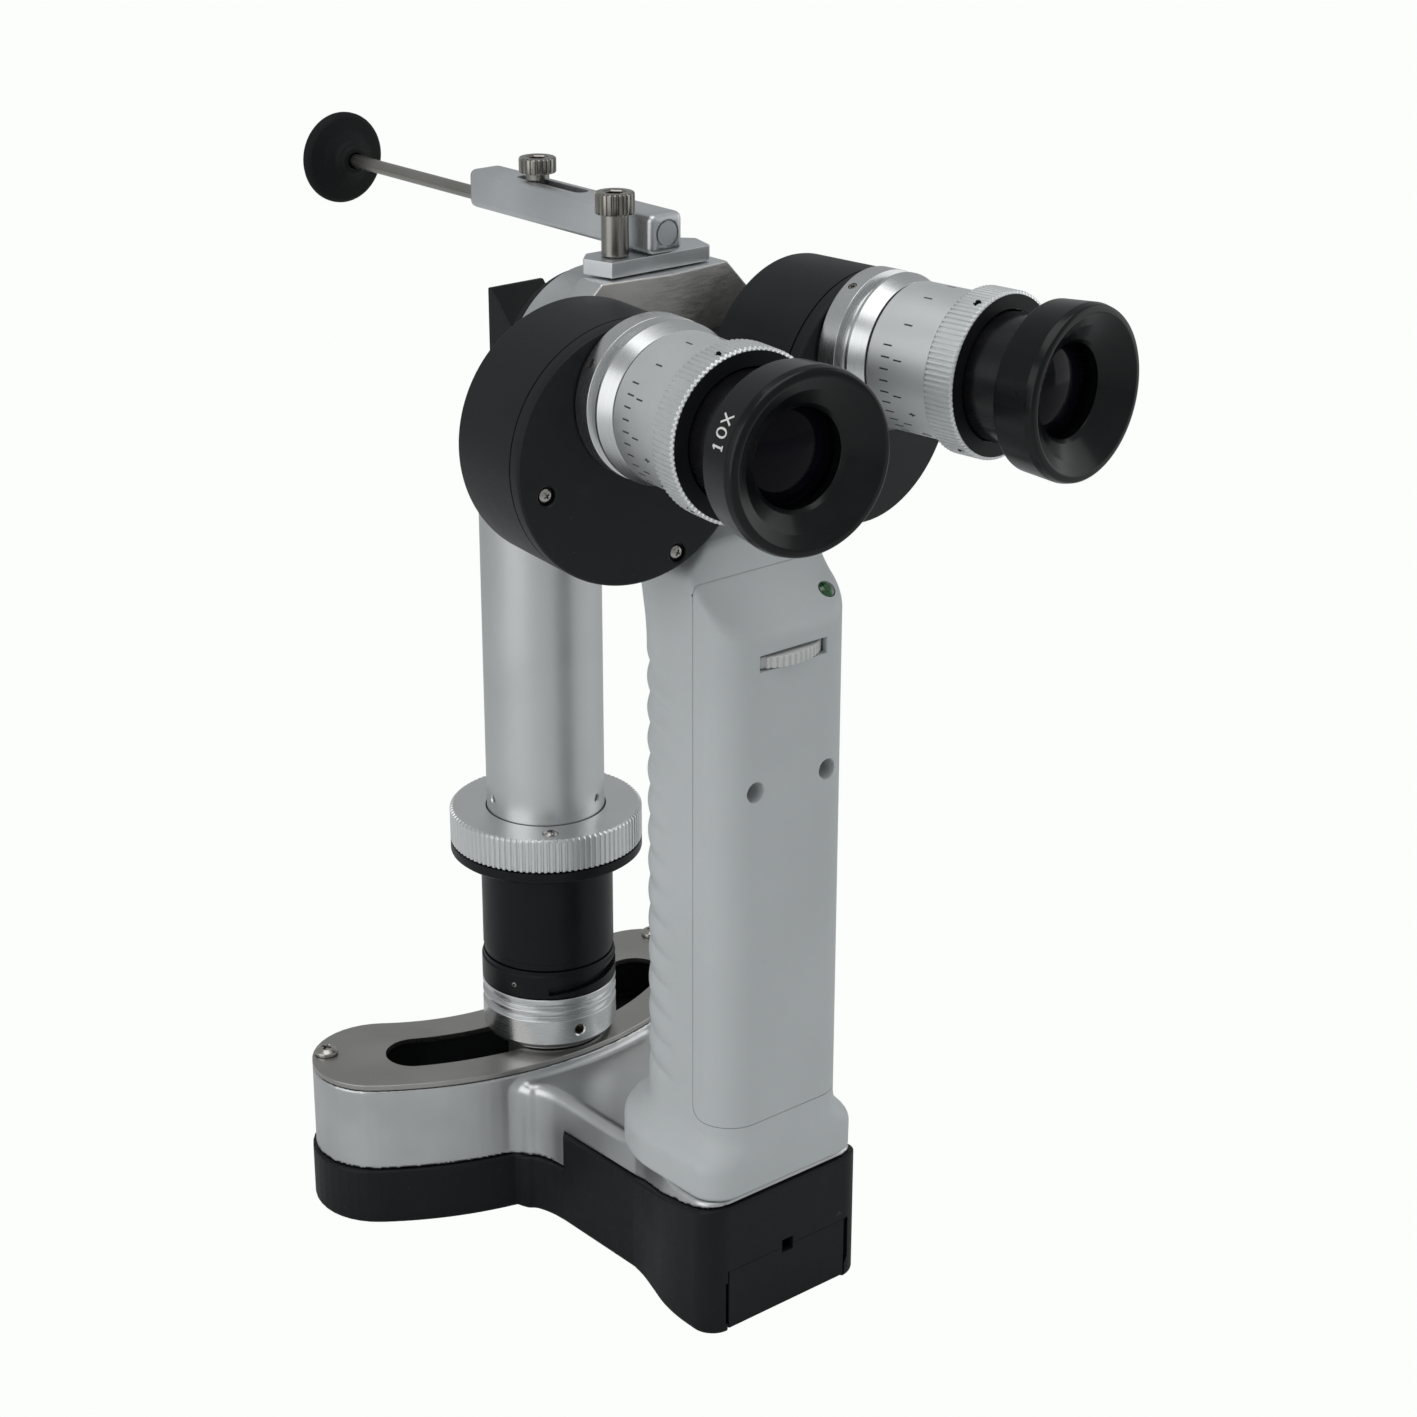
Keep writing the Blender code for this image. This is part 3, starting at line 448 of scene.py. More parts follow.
def either(a, b, radius):
    """Two solids as one, with a fillet between them."""
    return -both(-a, -b, radius)


def slab(value, low, high):
    return np.maximum(low - value, value - high)


def skin(name, field, low, high, cell):
    """A closed mesh where field(x, y, z) changes sign, negative inside."""
    low = np.array(low, float)
    axes = [np.arange(a, b + cell, cell) for a, b in zip(low, high)]
    values = field(*np.meshgrid(*axes, indexing="ij"))
    inside = values < 0.0
    size = np.array(values.shape) - 1
    corners = [np.array((i, j, k)) for i in (0, 1) for j in (0, 1) for k in (0, 1)]
    count = np.zeros(size, np.int8)
    for i, j, k in corners:
        count += inside[i:i + size[0], j:j + size[1], k:k + size[2]]
    active = (count > 0) & (count < 8)
    index = np.full(size, -1)
    index[active] = np.arange(active.sum())
    cells = np.argwhere(active)
    total, hits = np.zeros((len(cells), 3)), np.zeros(len(cells))
    for one in corners:
        for axis in range(3):
            if one[axis]:
                continue
            two = one.copy()
            two[axis] = 1
            a = values[tuple((cells + one).T)]
            b = values[tuple((cells + two).T)]
            cross = (a < 0.0) != (b < 0.0)
            t = a[cross] / (a[cross] - b[cross])
            total[cross] += one + t[:, None] * (two - one)
            hits[cross] += 1
    points = low + (cells + total / hits[:, None]) * cell
    for _ in range(3):
        points = points - toward(field, points, 0.5 * cell)
    faces = []
    for axis in range(3):
        u, v = (axis + 1) % 3, (axis + 2) % 3
        step = np.zeros(3, int)
        step[axis] = 1
        here = inside[tuple(slice(0 if a == axis else 1, n) for a, n in enumerate(size))]
        there = inside[tuple(slice(1, n + 1 if a == axis else n) for a, n in enumerate(size))]
        for flip in (False, True):
            found = np.argwhere((~here & there) if flip else (here & ~there))
            found += 1 - step
            du, dv = np.zeros(3, int), np.zeros(3, int)
            du[u] = 1
            dv[v] = 1
            ring = [found - du - dv, found - dv, found, found - du]
            quads = np.stack([index[tuple(cell_at.T)] for cell_at in ring], 1)
            faces.append(quads[:, ::-1] if flip else quads)
    mesh = bpy.data.meshes.new(name)
    mesh.from_pydata(points * MM, [], np.concatenate(faces).tolist())
    mesh.validate()
    return link(name, mesh)


def toward(field, points, most):
    """The step from each point to the field's surface."""
    x, y, z = points.T
    here = field(x, y, z)
    tiny = 0.02
    slope = np.stack([
        field(x + tiny, y, z) - field(x - tiny, y, z),
        field(x, y + tiny, z) - field(x, y - tiny, z),
        field(x, y, z + tiny) - field(x, y, z - tiny),
    ], 1) / (2 * tiny)
    squared = np.maximum((slope ** 2).sum(1), 0.05)
    step = slope * (here / squared)[:, None]
    length = np.linalg.norm(step, axis=1)
    return step * np.minimum(1.0, most / np.maximum(length, 1e-9))[:, None]


def smooth_table(heights, values, blur):
    """A function through points (height, value) with its bends softened."""
    step = 0.25
    grid = np.arange(heights[0] - 10.0, heights[-1] + 10.0, step)
    reach = int(3 * blur / step)
    kernel = np.exp(-0.5 * (np.arange(-reach, reach + 1) * step / blur) ** 2)
    padded = np.pad(np.interp(grid, heights, values), reach, mode="edge")
    soft = np.convolve(padded, kernel / kernel.sum(), mode="valid")
    return lambda height: np.interp(height, grid, soft)


def arc(centre, radius, start, end, steps):
    angles = np.radians(np.linspace(start, end, steps + 1))
    return [(centre[0] + radius * math.cos(a), centre[1] + radius * math.sin(a)) for a in angles]


def flowing(points, steps=6):
    """A curve through points, softer than straight lines between them."""
    points = [np.array(p, float) for p in points]
    padded = [2 * points[0] - points[1]] + points + [2 * points[-1] - points[-2]]
    made = []
    for a, b, c, d in zip(padded, padded[1:], padded[2:], padded[3:]):
        for i in range(steps):
            t = i / steps
            made.append(0.5 * (2 * b + (c - a) * t + (2 * a - 5 * b + 4 * c - d) * t * t
                               + (3 * b - a - 3 * c + d) * t ** 3))
    made.append(points[-1])
    return [tuple(p) for p in made]


def ramp(value, low, high):
    """A soft step from 0 at low to 1 at high."""
    t = np.clip((value - low) / (high - low), 0.0, 1.0)
    return t * t * (3.0 - 2.0 * t)


# ------------------------------------------------------------ finishes
CAST = metal("cast_metal", (0.66, 0.67, 0.675), 0.34, "cast", bump=0.10)
PLATE = metal("track_steel", (0.47, 0.46, 0.44), 0.32, "brushed", bump=0.05)
SCREW = metal("screw_steel", (0.50, 0.48, 0.45), 0.24, "turned", bump=0.04)
KNOB = metal("knob_steel", (0.35, 0.335, 0.31), 0.25, "upright", bump=0.05)
ROD = metal("rod_steel", (0.40, 0.385, 0.36), 0.27, "upright", bump=0.05)
TUBE = metal("column_metal", (0.69, 0.70, 0.705), 0.36, "turned", bump=0.012, tint=0.015)
RING = metal("turned_silver", (0.72, 0.73, 0.735), 0.27, "turned", bump=0.02, tint=0.02)
SATIN = metal("scale_metal", (0.82, 0.835, 0.84), 0.46, "cast", bump=0.08, tint=0.02)
HEAD = metal("head_metal", (0.72, 0.735, 0.74), 0.36, "cast", bump=0.06)
FACET = metal("polished_facet", (0.80, 0.78, 0.75), 0.50, "brushed", bump=0.03, tint=0.03)
KNURL = metal("knurl_metal", (0.80, 0.81, 0.815), 0.36, "cast", bump=0.03, tint=0.015)
ARM = metal("rest_metal", (0.71, 0.73, 0.745), 0.42, "cast", bump=0.06)
BRACKET = metal("bracket_metal", (0.60, 0.60, 0.61), 0.35, "brushed")
COPPER = metal("contact_metal", (0.85, 0.62, 0.32), 0.28, "brushed")
MIRROR = metal("mirror_glass", (0.86, 0.88, 0.90), 0.03, "cast", tint=0.01, bump=0.0)
DRUM = black_coat("drum_black", (0.0075, 0.0085, 0.0095), 0.42, shine=0.28)
ANODISED = black_coat("black_anodised", (0.007, 0.0075, 0.008), 0.36, bump=0.08, shine=0.28)
SLEEVE = black_coat("lamp_black", (0.0045, 0.005, 0.006), 0.33, bump=0.05, shine=0.22)
TRAY = black_coat("tray_plastic", (0.0065, 0.0075, 0.0085), 0.46, pebble=2400.0, bump=0.14, shine=0.24)
# Near-black finish used two ways: as painted shade inside the casting's channel and the diopter rings' open holes,
# and as the real colour of the arrow mark on the tray.
SHADE_AND_MARK_BLACK = black_coat("shade_and_mark_black", (0.016, 0.017, 0.018), 0.5, shine=0.4)
RUBBER = black_coat("pad_rubber", (0.0045, 0.005, 0.0055), 0.62, 1700.0, 0.2, 0.3, 0.22)
GLOSS = gloss("eyecup_gloss", (0.0035, 0.004, 0.0045), 0.24, 0.08, 0.26)
BARREL = gloss("barrel_gloss", (0.005, 0.005, 0.006), 0.26, 0.15, 0.35)
PLASTIC = moulded("grip_plastic", (0.60, 0.63, 0.64), 0.44)
WHEEL = moulded("wheel_plastic", (0.70, 0.71, 0.70), 0.38, soil=0.12)
BATTERY = moulded("battery_wrap", (0.05, 0.08, 0.16), 0.35)
BOARD = moulded("board_resin", (0.02, 0.16, 0.07), 0.4)
CASE = metal("potentiometer_case", (0.45, 0.45, 0.44), 0.4)
LAMP_BOARD = moulded("lamp_board", (0.75, 0.62, 0.22), 0.4)
LENS = gloss("lens_glass", (0.0035, 0.0025, 0.006), 0.07, 0.0, 0.12)
CRYSTAL = gloss("prism_glass", (0.10, 0.11, 0.12), 0.05, 0.4, 0.5)
LED = gloss("led_green", (0.012, 0.075, 0.018), 0.14, 0.8, 0.5)
BLACK_INK = ink("scale_ink", (0.030, 0.033, 0.038))
WHITE_INK = ink("power_mark_ink", (0.80, 0.80, 0.78))

# ------------------------------------------------------------ foot
FOCUS = (0.0, JOINTS["illumination_swing"]["pos_m"][1] / MM)
TRACK_UNDER = span("track_plate")[0][2]
TRACK_TOP = span("track_plate")[1][2]
TRACK_R = FOCUS[1]
CAST_LOW, CAST_HIGH = span("base_casting")
TRAY_LOW, TRAY_HIGH = span("base_tray")
DOOR_LOW, DOOR_HIGH = span("battery_door")
REAR_Y = TRAY_LOW[1]
# Clear of the tray's rear face, for what is cut in from behind.
BEHIND = REAR_Y - 5.0
# Between neighbouring pieces.
GAP = 0.3
ARM_TOP = CAST_LOW[2] - GAP
NECK_TOP = CAST_HIGH[2] - 2.0
PAD_TOP = span("grip_shell")[0][2] - GAP
# Heights of the floors of the tray and of the hollows above it.
TRAY_FLOOR = 2.4
HOLLOW_FLOOR = 16.0
SPINE_FLOOR = 20.0
CHANNEL_FLOOR = 24.0
# Space round a field's grid, and the grid's cell.
MARGIN = 1.5
CELL = 0.5
BAY_HALF = 15.6
BAND_END = 37.3
SLOT_END = 30.0
NECK_HALF = 16.8
# How far the neck widens past its half width at either end, and where.
NECK_ROOT = ((7.2, 0.0), (3.8, -14.6), (1.6, -17.8), (0.4, -21.8), (0.0, -26.0))
NECK_FLARE = ((0.0, -52.0), (0.9, -56.5), (2.6, -62.0), (4.5, -68.0), (5.5, -74.0))
PAD_HALF = 22.5
PAD_CORNER = 5.5
LATCH = 1.6
LATCH_Z = DOOR_HIGH[2] + 0.25
# The head bracket's passage through the casting and the grip.
SPINE_HALF = 5.3
SPINE_REAR = -57.9
SPINE_FRONT = -52.3
# The tray's upper edge: depth and height.
RIM_LINE = ((-90.0, 32.4), (-72.0, 29.0), (-60.0, 25.6), (-52.0, 23.6), (-28.0, 23.5))


def band(half, end):
    """A round-ended band on the swing track."""
    right, left = -90.0 + end, -90.0 - end
    turned_to = math.radians(end)
    centre = (TRACK_R * math.sin(turned_to), FOCUS[1] - TRACK_R * math.cos(turned_to))
    near = arc(FOCUS, TRACK_R + half, left, right, 40)
    cap = arc(centre, half, right, right + 180.0, 20)[1:-1]
    far = arc(FOCUS, TRACK_R - half, right, left, 40)
    other = arc((-centre[0], centre[1]), half, left - 180.0, left, 20)[1:-1]
    return near + cap + far + other


def neck(inset):
    """The plan of the neck and the pad behind it."""
    half, wide = NECK_HALF - inset, PAD_HALF - inset
    corner = (wide - PAD_CORNER, REAR_Y + inset + PAD_CORNER)
    root = [(half + out, y) for out, y in NECK_ROOT]
    flare = [(half + out, y) for out, y in NECK_FLARE]
    side = flowing(root, 5)[:-1] + [root[-1], flare[0]]
    side += flowing(flare + [(wide, corner[1])], 5)[1:-1] + arc(corner, PAD_CORNER, 0.0, -90.0, 10)
    return [(-x, y) for x, y in side] + list(reversed(side))


def rim_height(y):
    return np.interp(y, *zip(*RIM_LINE))


BAND_PLAN = band(15.5, BAND_END)
CHANNEL_PLAN = band(10.6, SLOT_END)
NECK_UPPER = neck(0.85)
NECK_LOWER = neck(2.0)
TRAY_ARMS = band(16.3, BAND_END)
TRAY_NECK = neck(0.0)
TRAY_POCKET = band(13.9, BAND_END)
TRAY_HOLLOW = [(x, min(y, -22.0)) for x, y in neck(1.7)]


def casting_field(x, y, z):
    """The track, the neck that rises to the pad behind it, and the channel and passage cut into them."""
    track = both(flat_distance(x, y, BAND_PLAN), slab(z, CAST_LOW[2], CAST_HIGH[2]), 0.3)
    top = NECK_TOP + (PAD_TOP - NECK_TOP) * np.clip((-45.0 - y) / 4.0, 0.0, 1.0)
    roll = 2.6 - 1.5 * np.clip((-46.0 - y) / 10.0, 0.0, 1.0)
    rounded = both(flat_distance(x, y, NECK_UPPER), z - top, roll)
    upper = np.maximum(rounded, np.where(y < -25.6, rim_height(y) + 0.25, ARM_TOP + 0.3) - z)
    lower = np.maximum(flat_distance(x, y, NECK_LOWER), slab(z, 16.3, NECK_TOP - 3.0))
    body = either(track, np.minimum(upper, lower), 1.7)
    channel = np.maximum(flat_distance(x, y, CHANNEL_PLAN), CHANNEL_FLOOR - z)
    spine = np.maximum.reduce([np.abs(x) - SPINE_HALF, slab(y, SPINE_REAR, SPINE_FRONT), SPINE_FLOOR - z])
    return np.maximum(body, -np.minimum(channel, spine))


def tray_field(x, y, z):
    """Flat arms under the track and a deeper box under the neck, hollowed from above."""
    neck_plan = flat_distance(x, y, TRAY_NECK)
    flat = both(np.minimum(flat_distance(x, y, TRAY_ARMS), neck_plan), z - ARM_TOP, 0.45)
    wall = both(both(neck_plan, z - rim_height(y), 0.55), y + 25.8, 0.9)
    body = both(np.minimum(flat, wall), -z, 1.3)
    pocket = np.maximum(flat_distance(x, y, TRAY_POCKET), TRAY_FLOOR - z)
    hollow = np.maximum(flat_distance(x, y, TRAY_HOLLOW), HOLLOW_FLOOR - z)
    return np.maximum(body, -np.minimum(pocket, hollow))


def latch_hole():
    """A cutter for the finger hole that the tray and the door share."""
    return block("latch", (-LATCH, BEHIND, LATCH_Z - LATCH), (LATCH, REAR_Y + 5.0, LATCH_Z + LATCH))


def build_tray():
    tray = skin("tray", tray_field, TRAY_LOW - MARGIN, TRAY_HIGH + MARGIN, CELL)
    tray.data.materials.append(TRAY)
    low, high = DOOR_LOW, DOOR_HIGH
    half = high[0] + 0.25
    doorway = block("doorway", (-half, BEHIND, -5.0), (half, REAR_Y + 2.4, high[2] + 0.08))
    bay = block("bay", (-BAY_HALF, REAR_Y + 1.5, 2.0), (BAY_HALF, -30.0, 20.0))
    mouth = block("bay_mouth", (-BAY_HALF, BEHIND, 2.0), (BAY_HALF, -80.0, high[2]))
    slit_depth = (-REAR_Y - 1.3, -REAR_Y + 3.0)
    hooked = [(17.0, 15.6), (17.0, 5.6), (15.9, 3.4), (17.2, 3.6), (18.1, 5.4), (18.1, 15.6)]
    right_slit = prism("right_slit", hooked, *slit_depth, FRONT_VIEW, bevel=0.2, segments=2)
    straight = [(-17.8, 12.6), (-17.8, 2.4), (-17.1, 2.4), (-17.1, 12.6)]
    left_slit = prism("left_slit", straight, *slit_depth, FRONT_VIEW)
    carve(tray, doorway, bay, mouth, latch_hole(), right_slit, left_slit)
    dress(tray, TRAY, "base_tray", 50.0)

    inner = (high[0] - 0.1, low[1] + 2.1, high[2])
    door = block("door_panel", (low[0] + 0.1, low[1], low[2]), inner, bevel=0.25)
    carve(door, block("lip", (-14.0, low[1] + 1.5, 2.4), (14.0, high[1], 3.8)), mode="UNION")
    carve(door, latch_hole())
    dress(door, TRAY, "battery_door")
    arrow = [(14.2, 17.1), (16.3, 17.1), (15.25, 18.4)]
    mark = prism("door_mark", arrow, -REAR_Y - 0.06, -REAR_Y + 0.04, FRONT_VIEW)
    dress(mark, SHADE_AND_MARK_BLACK, "base_tray", slot="tray_plastic")


def build_foot():
    box_low = CAST_LOW - MARGIN
    box_low[1] = REAR_Y - MARGIN
    casting = skin("casting", casting_field, box_low, CAST_HIGH + MARGIN, CELL)
    casting.data.materials.append(CAST)
    casting.data.materials.append(SHADE_AND_MARK_BLACK)
    middles = np.zeros(len(casting.data.polygons) * 3)
    casting.data.polygons.foreach_get("center", middles)
    x, y, z = middles.reshape(-1, 3).T / MM
    # Faces inside the channel take the near-black finish: painted shade for the deep slot, not a black part.
    slot_shade_faces = (flat_distance(x, y, CHANNEL_PLAN) < 0.25) & (z < CAST_HIGH[2] - 0.2)
    casting.data.polygons.foreach_set("material_index", slot_shade_faces.astype(int))
    dress(casting, CAST, "base_casting", 50.0)

    plate = prism("plate", BAND_PLAN, TRACK_UNDER, TRACK_TOP, bevel=0.22, angle=50.0)
    carve(plate, prism("slot", band(6.8, SLOT_END), TRACK_UNDER - 3.0, TRACK_TOP + 3.0))
    add_bevel(plate, 0.15, 2, 50.0)
    dress(plate, PLATE, "track_plate", 40.0)
    for label, turned_by in (("left", 27.0), ("right", 64.0)):
        node = f"track_screw_{label}"
        middle = middle_of(node)
        seat = at(middle[0], middle[1], TRACK_TOP + 0.1) @ turn(turned_by, "Z")
        screw(f"pan_screw_{label}", seat, 2.75, span(node)[1][2] - TRACK_TOP - 0.1, node)


# ------------------------------------------------------------ grip
COVER_LOW, COVER_HIGH = span("rear_cover")
# The visible line between the shell and the rear cover.
SEAM_GAP = 0.16
SEAM_Y = COVER_HIGH[1] + GAP
SEAM_Z = COVER_LOW[2] - GAP
GRIP_MID = -64.0
GRIP_TOP = 169.5
# The line of the sloping top in side view.
SLOPE = ((-92.0, 154.3), (-74.6, 168.9))
HOOD_FRONT = -47.8
HOOD_TOP = 176.8
GROOVES = 14
GROOVE_FIRST = 58.5
GROOVE_PITCH = 7.0
GROOVE_DEPTH = 0.62
# Height, half width, front, rear and rear corner radius.
GRIP_SECTIONS = (
    (32.9, 21.6, -40.6, -85.5, 7.0), (39.6, 21.6, -40.6, -85.6, 7.0), (41.2, 21.0, -41.8, -85.5, 7.3),
    (44.6, 18.1, -47.8, -85.2, 8.0), (46.8, 17.7, -49.0, -85.0, 8.0), (154.0, 17.7, -49.0, -85.0, 8.0),
    (158.5, 17.7, -48.2, -85.0, 8.0), (164.0, 17.7, -46.4, -85.0, 8.0), (168.2, 17.7, -45.0, -85.0, 8.0),
    (180.0, 17.7, -45.0, -85.0, 8.0),
)
GRIP_HEIGHTS, *GRIP_COLUMNS = zip(*GRIP_SECTIONS)
GRIP_TABLES = [smooth_table(GRIP_HEIGHTS, column, 0.6) for column in GRIP_COLUMNS]
# How far each drum's axis leans out from straight back.
PIVOT_AXIS = Vector(JOINTS["pupil_distance_right"]["axis"])
TILT = math.atan(abs(PIVOT_AXIS.x / PIVOT_AXIS.y))


def grip_side(x, y, z):
    """Distance to the grip's upright faces: a half ellipse for the fingers and a round-cornered back."""
    half, front, rear, corner = (table(z) for table in GRIP_TABLES)
    reach, ahead, out = front - GRIP_MID, y - GRIP_MID, np.abs(x)
    near = np.hypot(out / half, ahead / reach)
    nose = near * (near - 1.0) / np.maximum(np.hypot(out / half ** 2, ahead / reach ** 2), 1e-6)
    qx, qy = out - half + corner, rear + corner - y
    back = np.hypot(np.maximum(qx, 0.0), np.maximum(qy, 0.0)) + np.minimum(np.maximum(qx, qy), 0.0) - corner
    facing = np.clip(ahead / reach / np.maximum(near, 1e-6), -0.5, 1.0)
    turns = (z + 3.0 * (1.0 - facing) - GROOVE_FIRST) / GROOVE_PITCH
    crisp = 1.0 - np.abs(np.sin(np.pi * turns))
    soft = 0.5 + 0.5 * np.cos(TAU * turns)
    soften = ramp(z, 80.0, 140.0)
    cut = GROOVE_DEPTH * (crisp * (1.0 - soften) + soft * soften)
    cut = cut * ramp(y, -70.0, -62.0) * ramp(turns, -0.6, -0.1) * ramp(turns, GROOVES - 0.4, GROOVES - 0.9)
    return np.where(ahead > 0.0, nose, back) + cut


def grip_field(x, y, z):
    """The whole grip: its upright faces under the sloping top, the hood and the hollow for the drums."""
    (low_y, low_z), (high_y, high_z) = SLOPE
    length = math.hypot(high_y - low_y, high_z - low_z)
    slope = ((z - low_z) * (high_y - low_y) - (y - low_y) * (high_z - low_z)) / length
    rise = math.radians(66.0)
    lift = (z - high_z + 0.6) * math.cos(rise) - (y - high_y - 0.2) * math.sin(rise)
    top = either(slope, lift, 1.6)
    drum_x = 14.3 + (FOCUS[1] - y) * math.tan(TILT)
    under_drum = 27.2 - np.hypot(np.abs(x) - drum_x, z - 196.2)
    top = both(both(top, z - HOOD_TOP, 1.5), under_drum, 1.0)
    top = np.maximum(top, np.minimum(y - HOOD_FRONT, z - GRIP_TOP))
    return both(both(grip_side(x, y, z), top, 1.5), GRIP_SECTIONS[0][0] - z, 0.6)


def cover_region(inset):
    """The rear cover's outline in side view, with a round lower corner."""
    edge, foot, corner = SEAM_Y - inset, SEAM_Z + inset, 3.0
    rounded = arc((edge - corner, foot + corner), corner, -90.0, 0.0, 6)[1:]
    return [(-110.0, foot), (edge - corner, foot)] + rounded + [(edge, 190.0), (-110.0, 190.0)]


def grip_hollow(low, high):
    inner = [(15.3 * x, GRIP_MID + 12.6 * y) for x, y in arc((0.0, 0.0), 1.0, 0.0, 180.0, 16)]
    inner += arc((-9.7, -77.0), 5.6, 180.0, 270.0, 5) + arc((9.7, -77.0), 5.6, 270.0, 360.0, 5)
    return prism("hollow", inner, low, high)


def led_frame():
    """The indicator's place on the cover's sloping top, square to it."""
    (low_y, low_z), (high_y, high_z) = SLOPE
    tilt = math.degrees(math.atan2(high_z - low_z, high_y - low_y))
    foot = at(middle_of("power_led")[0], low_y, low_z) @ turn(tilt, "X")
    return foot @ at(0.0, middle_of("power_led", foot)[1], 0.0)


def build_grip():
    low, high = span("grip_shell")
    low[1] = min(low[1], REAR_Y)
    cell = 0.6
    shell = skin("grip_shell_skin", grip_field, low - MARGIN, high + MARGIN, cell)
    shell.data.materials.append(PLASTIC)
    cover = link("cover", shell.data.copy())

    hollow = grip_hollow(20.0, 162.0)
    screw_z = middle_of("cover_screw_left")[2]
    carve(hollow, block("bar", (-20.0, SEAM_Y + 0.5, screw_z - 4.1), (20.0, -68.3, screw_z + 4.3)))
    seam = prism("seam", cover_region(0.0), -30.0, 30.0, SIDE_VIEW)
    path = block("path", (-7.3, -65.3, 166.0), (7.3, -40.0, 175.8))
    spine = block("spine", (-SPINE_HALF, SPINE_REAR, 158.0), (SPINE_HALF, SPINE_FRONT, 170.3))
    carve(shell, seam, hollow, path, spine)
    dress(shell, PLASTIC, "grip_shell", 55.0)

    carve(cover, prism("region", cover_region(SEAM_GAP), -30.0, 30.0, SIDE_VIEW), mode="INTERSECT")
    carve(cover, grip_hollow(40.0, 157.0))
    cutters = []
    for label in ("left", "right"):
        node = f"cover_screw_{label}"
        axis = at(middle_of(node)[0], 0.0, middle_of(node)[2]) @ REARWARD
        carve(cover, rod("boss", 3.6, 75.0, 84.0, axis, 32), mode="UNION")
        seat = [(0.0, 95.0), (2.6, 95.0), (2.6, 85.1), (2.2, 84.7), (2.15, 77.2), (0.0, 77.2)]
        cutters.append(lathe("seat", seat, axis, 48, 0.0))
        cutters.append(rod("bore", 1.5, 60.0, 80.0, axis, 24))
        screw(f"cover_pan_screw_{label}", axis @ at(0.0, 0.0, 77.5), 1.8, 1.4, node, 7.5)
    low, high = span("brightness_wheel")
    wheel_y = middle_of("brightness_wheel")[1]
    wheel_r = (high[0] - low[0]) / 2
    slot_low, slot_high = low[2] - GAP, high[2] + GAP
    cutters.append(block("wheel_slot", (-9.15, -95.0, slot_low), (9.15, -70.0, slot_high + 0.5)))
    cutters.append(rod("wheel_room", wheel_r + GAP, slot_low, slot_high, at(0.0, wheel_y), 64))
    led = led_frame()
    cutters.append(rod("led_hole", 2.0, -9.0, 9.0, led, 32))
    carve(cover, *cutters)
    dress(cover, PLASTIC, "rear_cover", 55.0)

    teeth = 62
    rim = [(3.3, high[2]), (wheel_r, high[2]), (wheel_r, low[2]), (3.3, low[2])]
    wheel = lathe("wheel", rim, at(0.0, wheel_y), teeth * 10, 0.3, (teeth, 0.38, 0.0, 200.0, wheel_r - 0.35))
    dress(wheel, WHEEL, "brightness_wheel", 38.0)
    bulb = [(0.0, 0.6), (1.0, 0.5, 0.7), (1.85, 0.0, 0.3), (1.85, -5.0), (0.0, -5.0)]
    dress(lathe("led_dome", bulb, led, 48, 0.2), LED, "power_led")


# ------------------------------------------------------------ light column
# Distance from the axis and direction of the slit ring's clamp screw.
SLIT_SCREW_AT = (17.9, -124.0)


def radial(height, degrees, frame_matrix=None):
    """A frame on the column's axis, or another, with +Z pointing out at an angle from +X."""
    return (frame_matrix or Matrix()) @ at(0.0, 0.0, height) @ turn(degrees, "Z") @ turn(90.0, "Y")


def ring_size(node):
    """The radius, foot and top of a round node on the column."""
    low, high = span(node)
    return high[0], low[2], high[2]


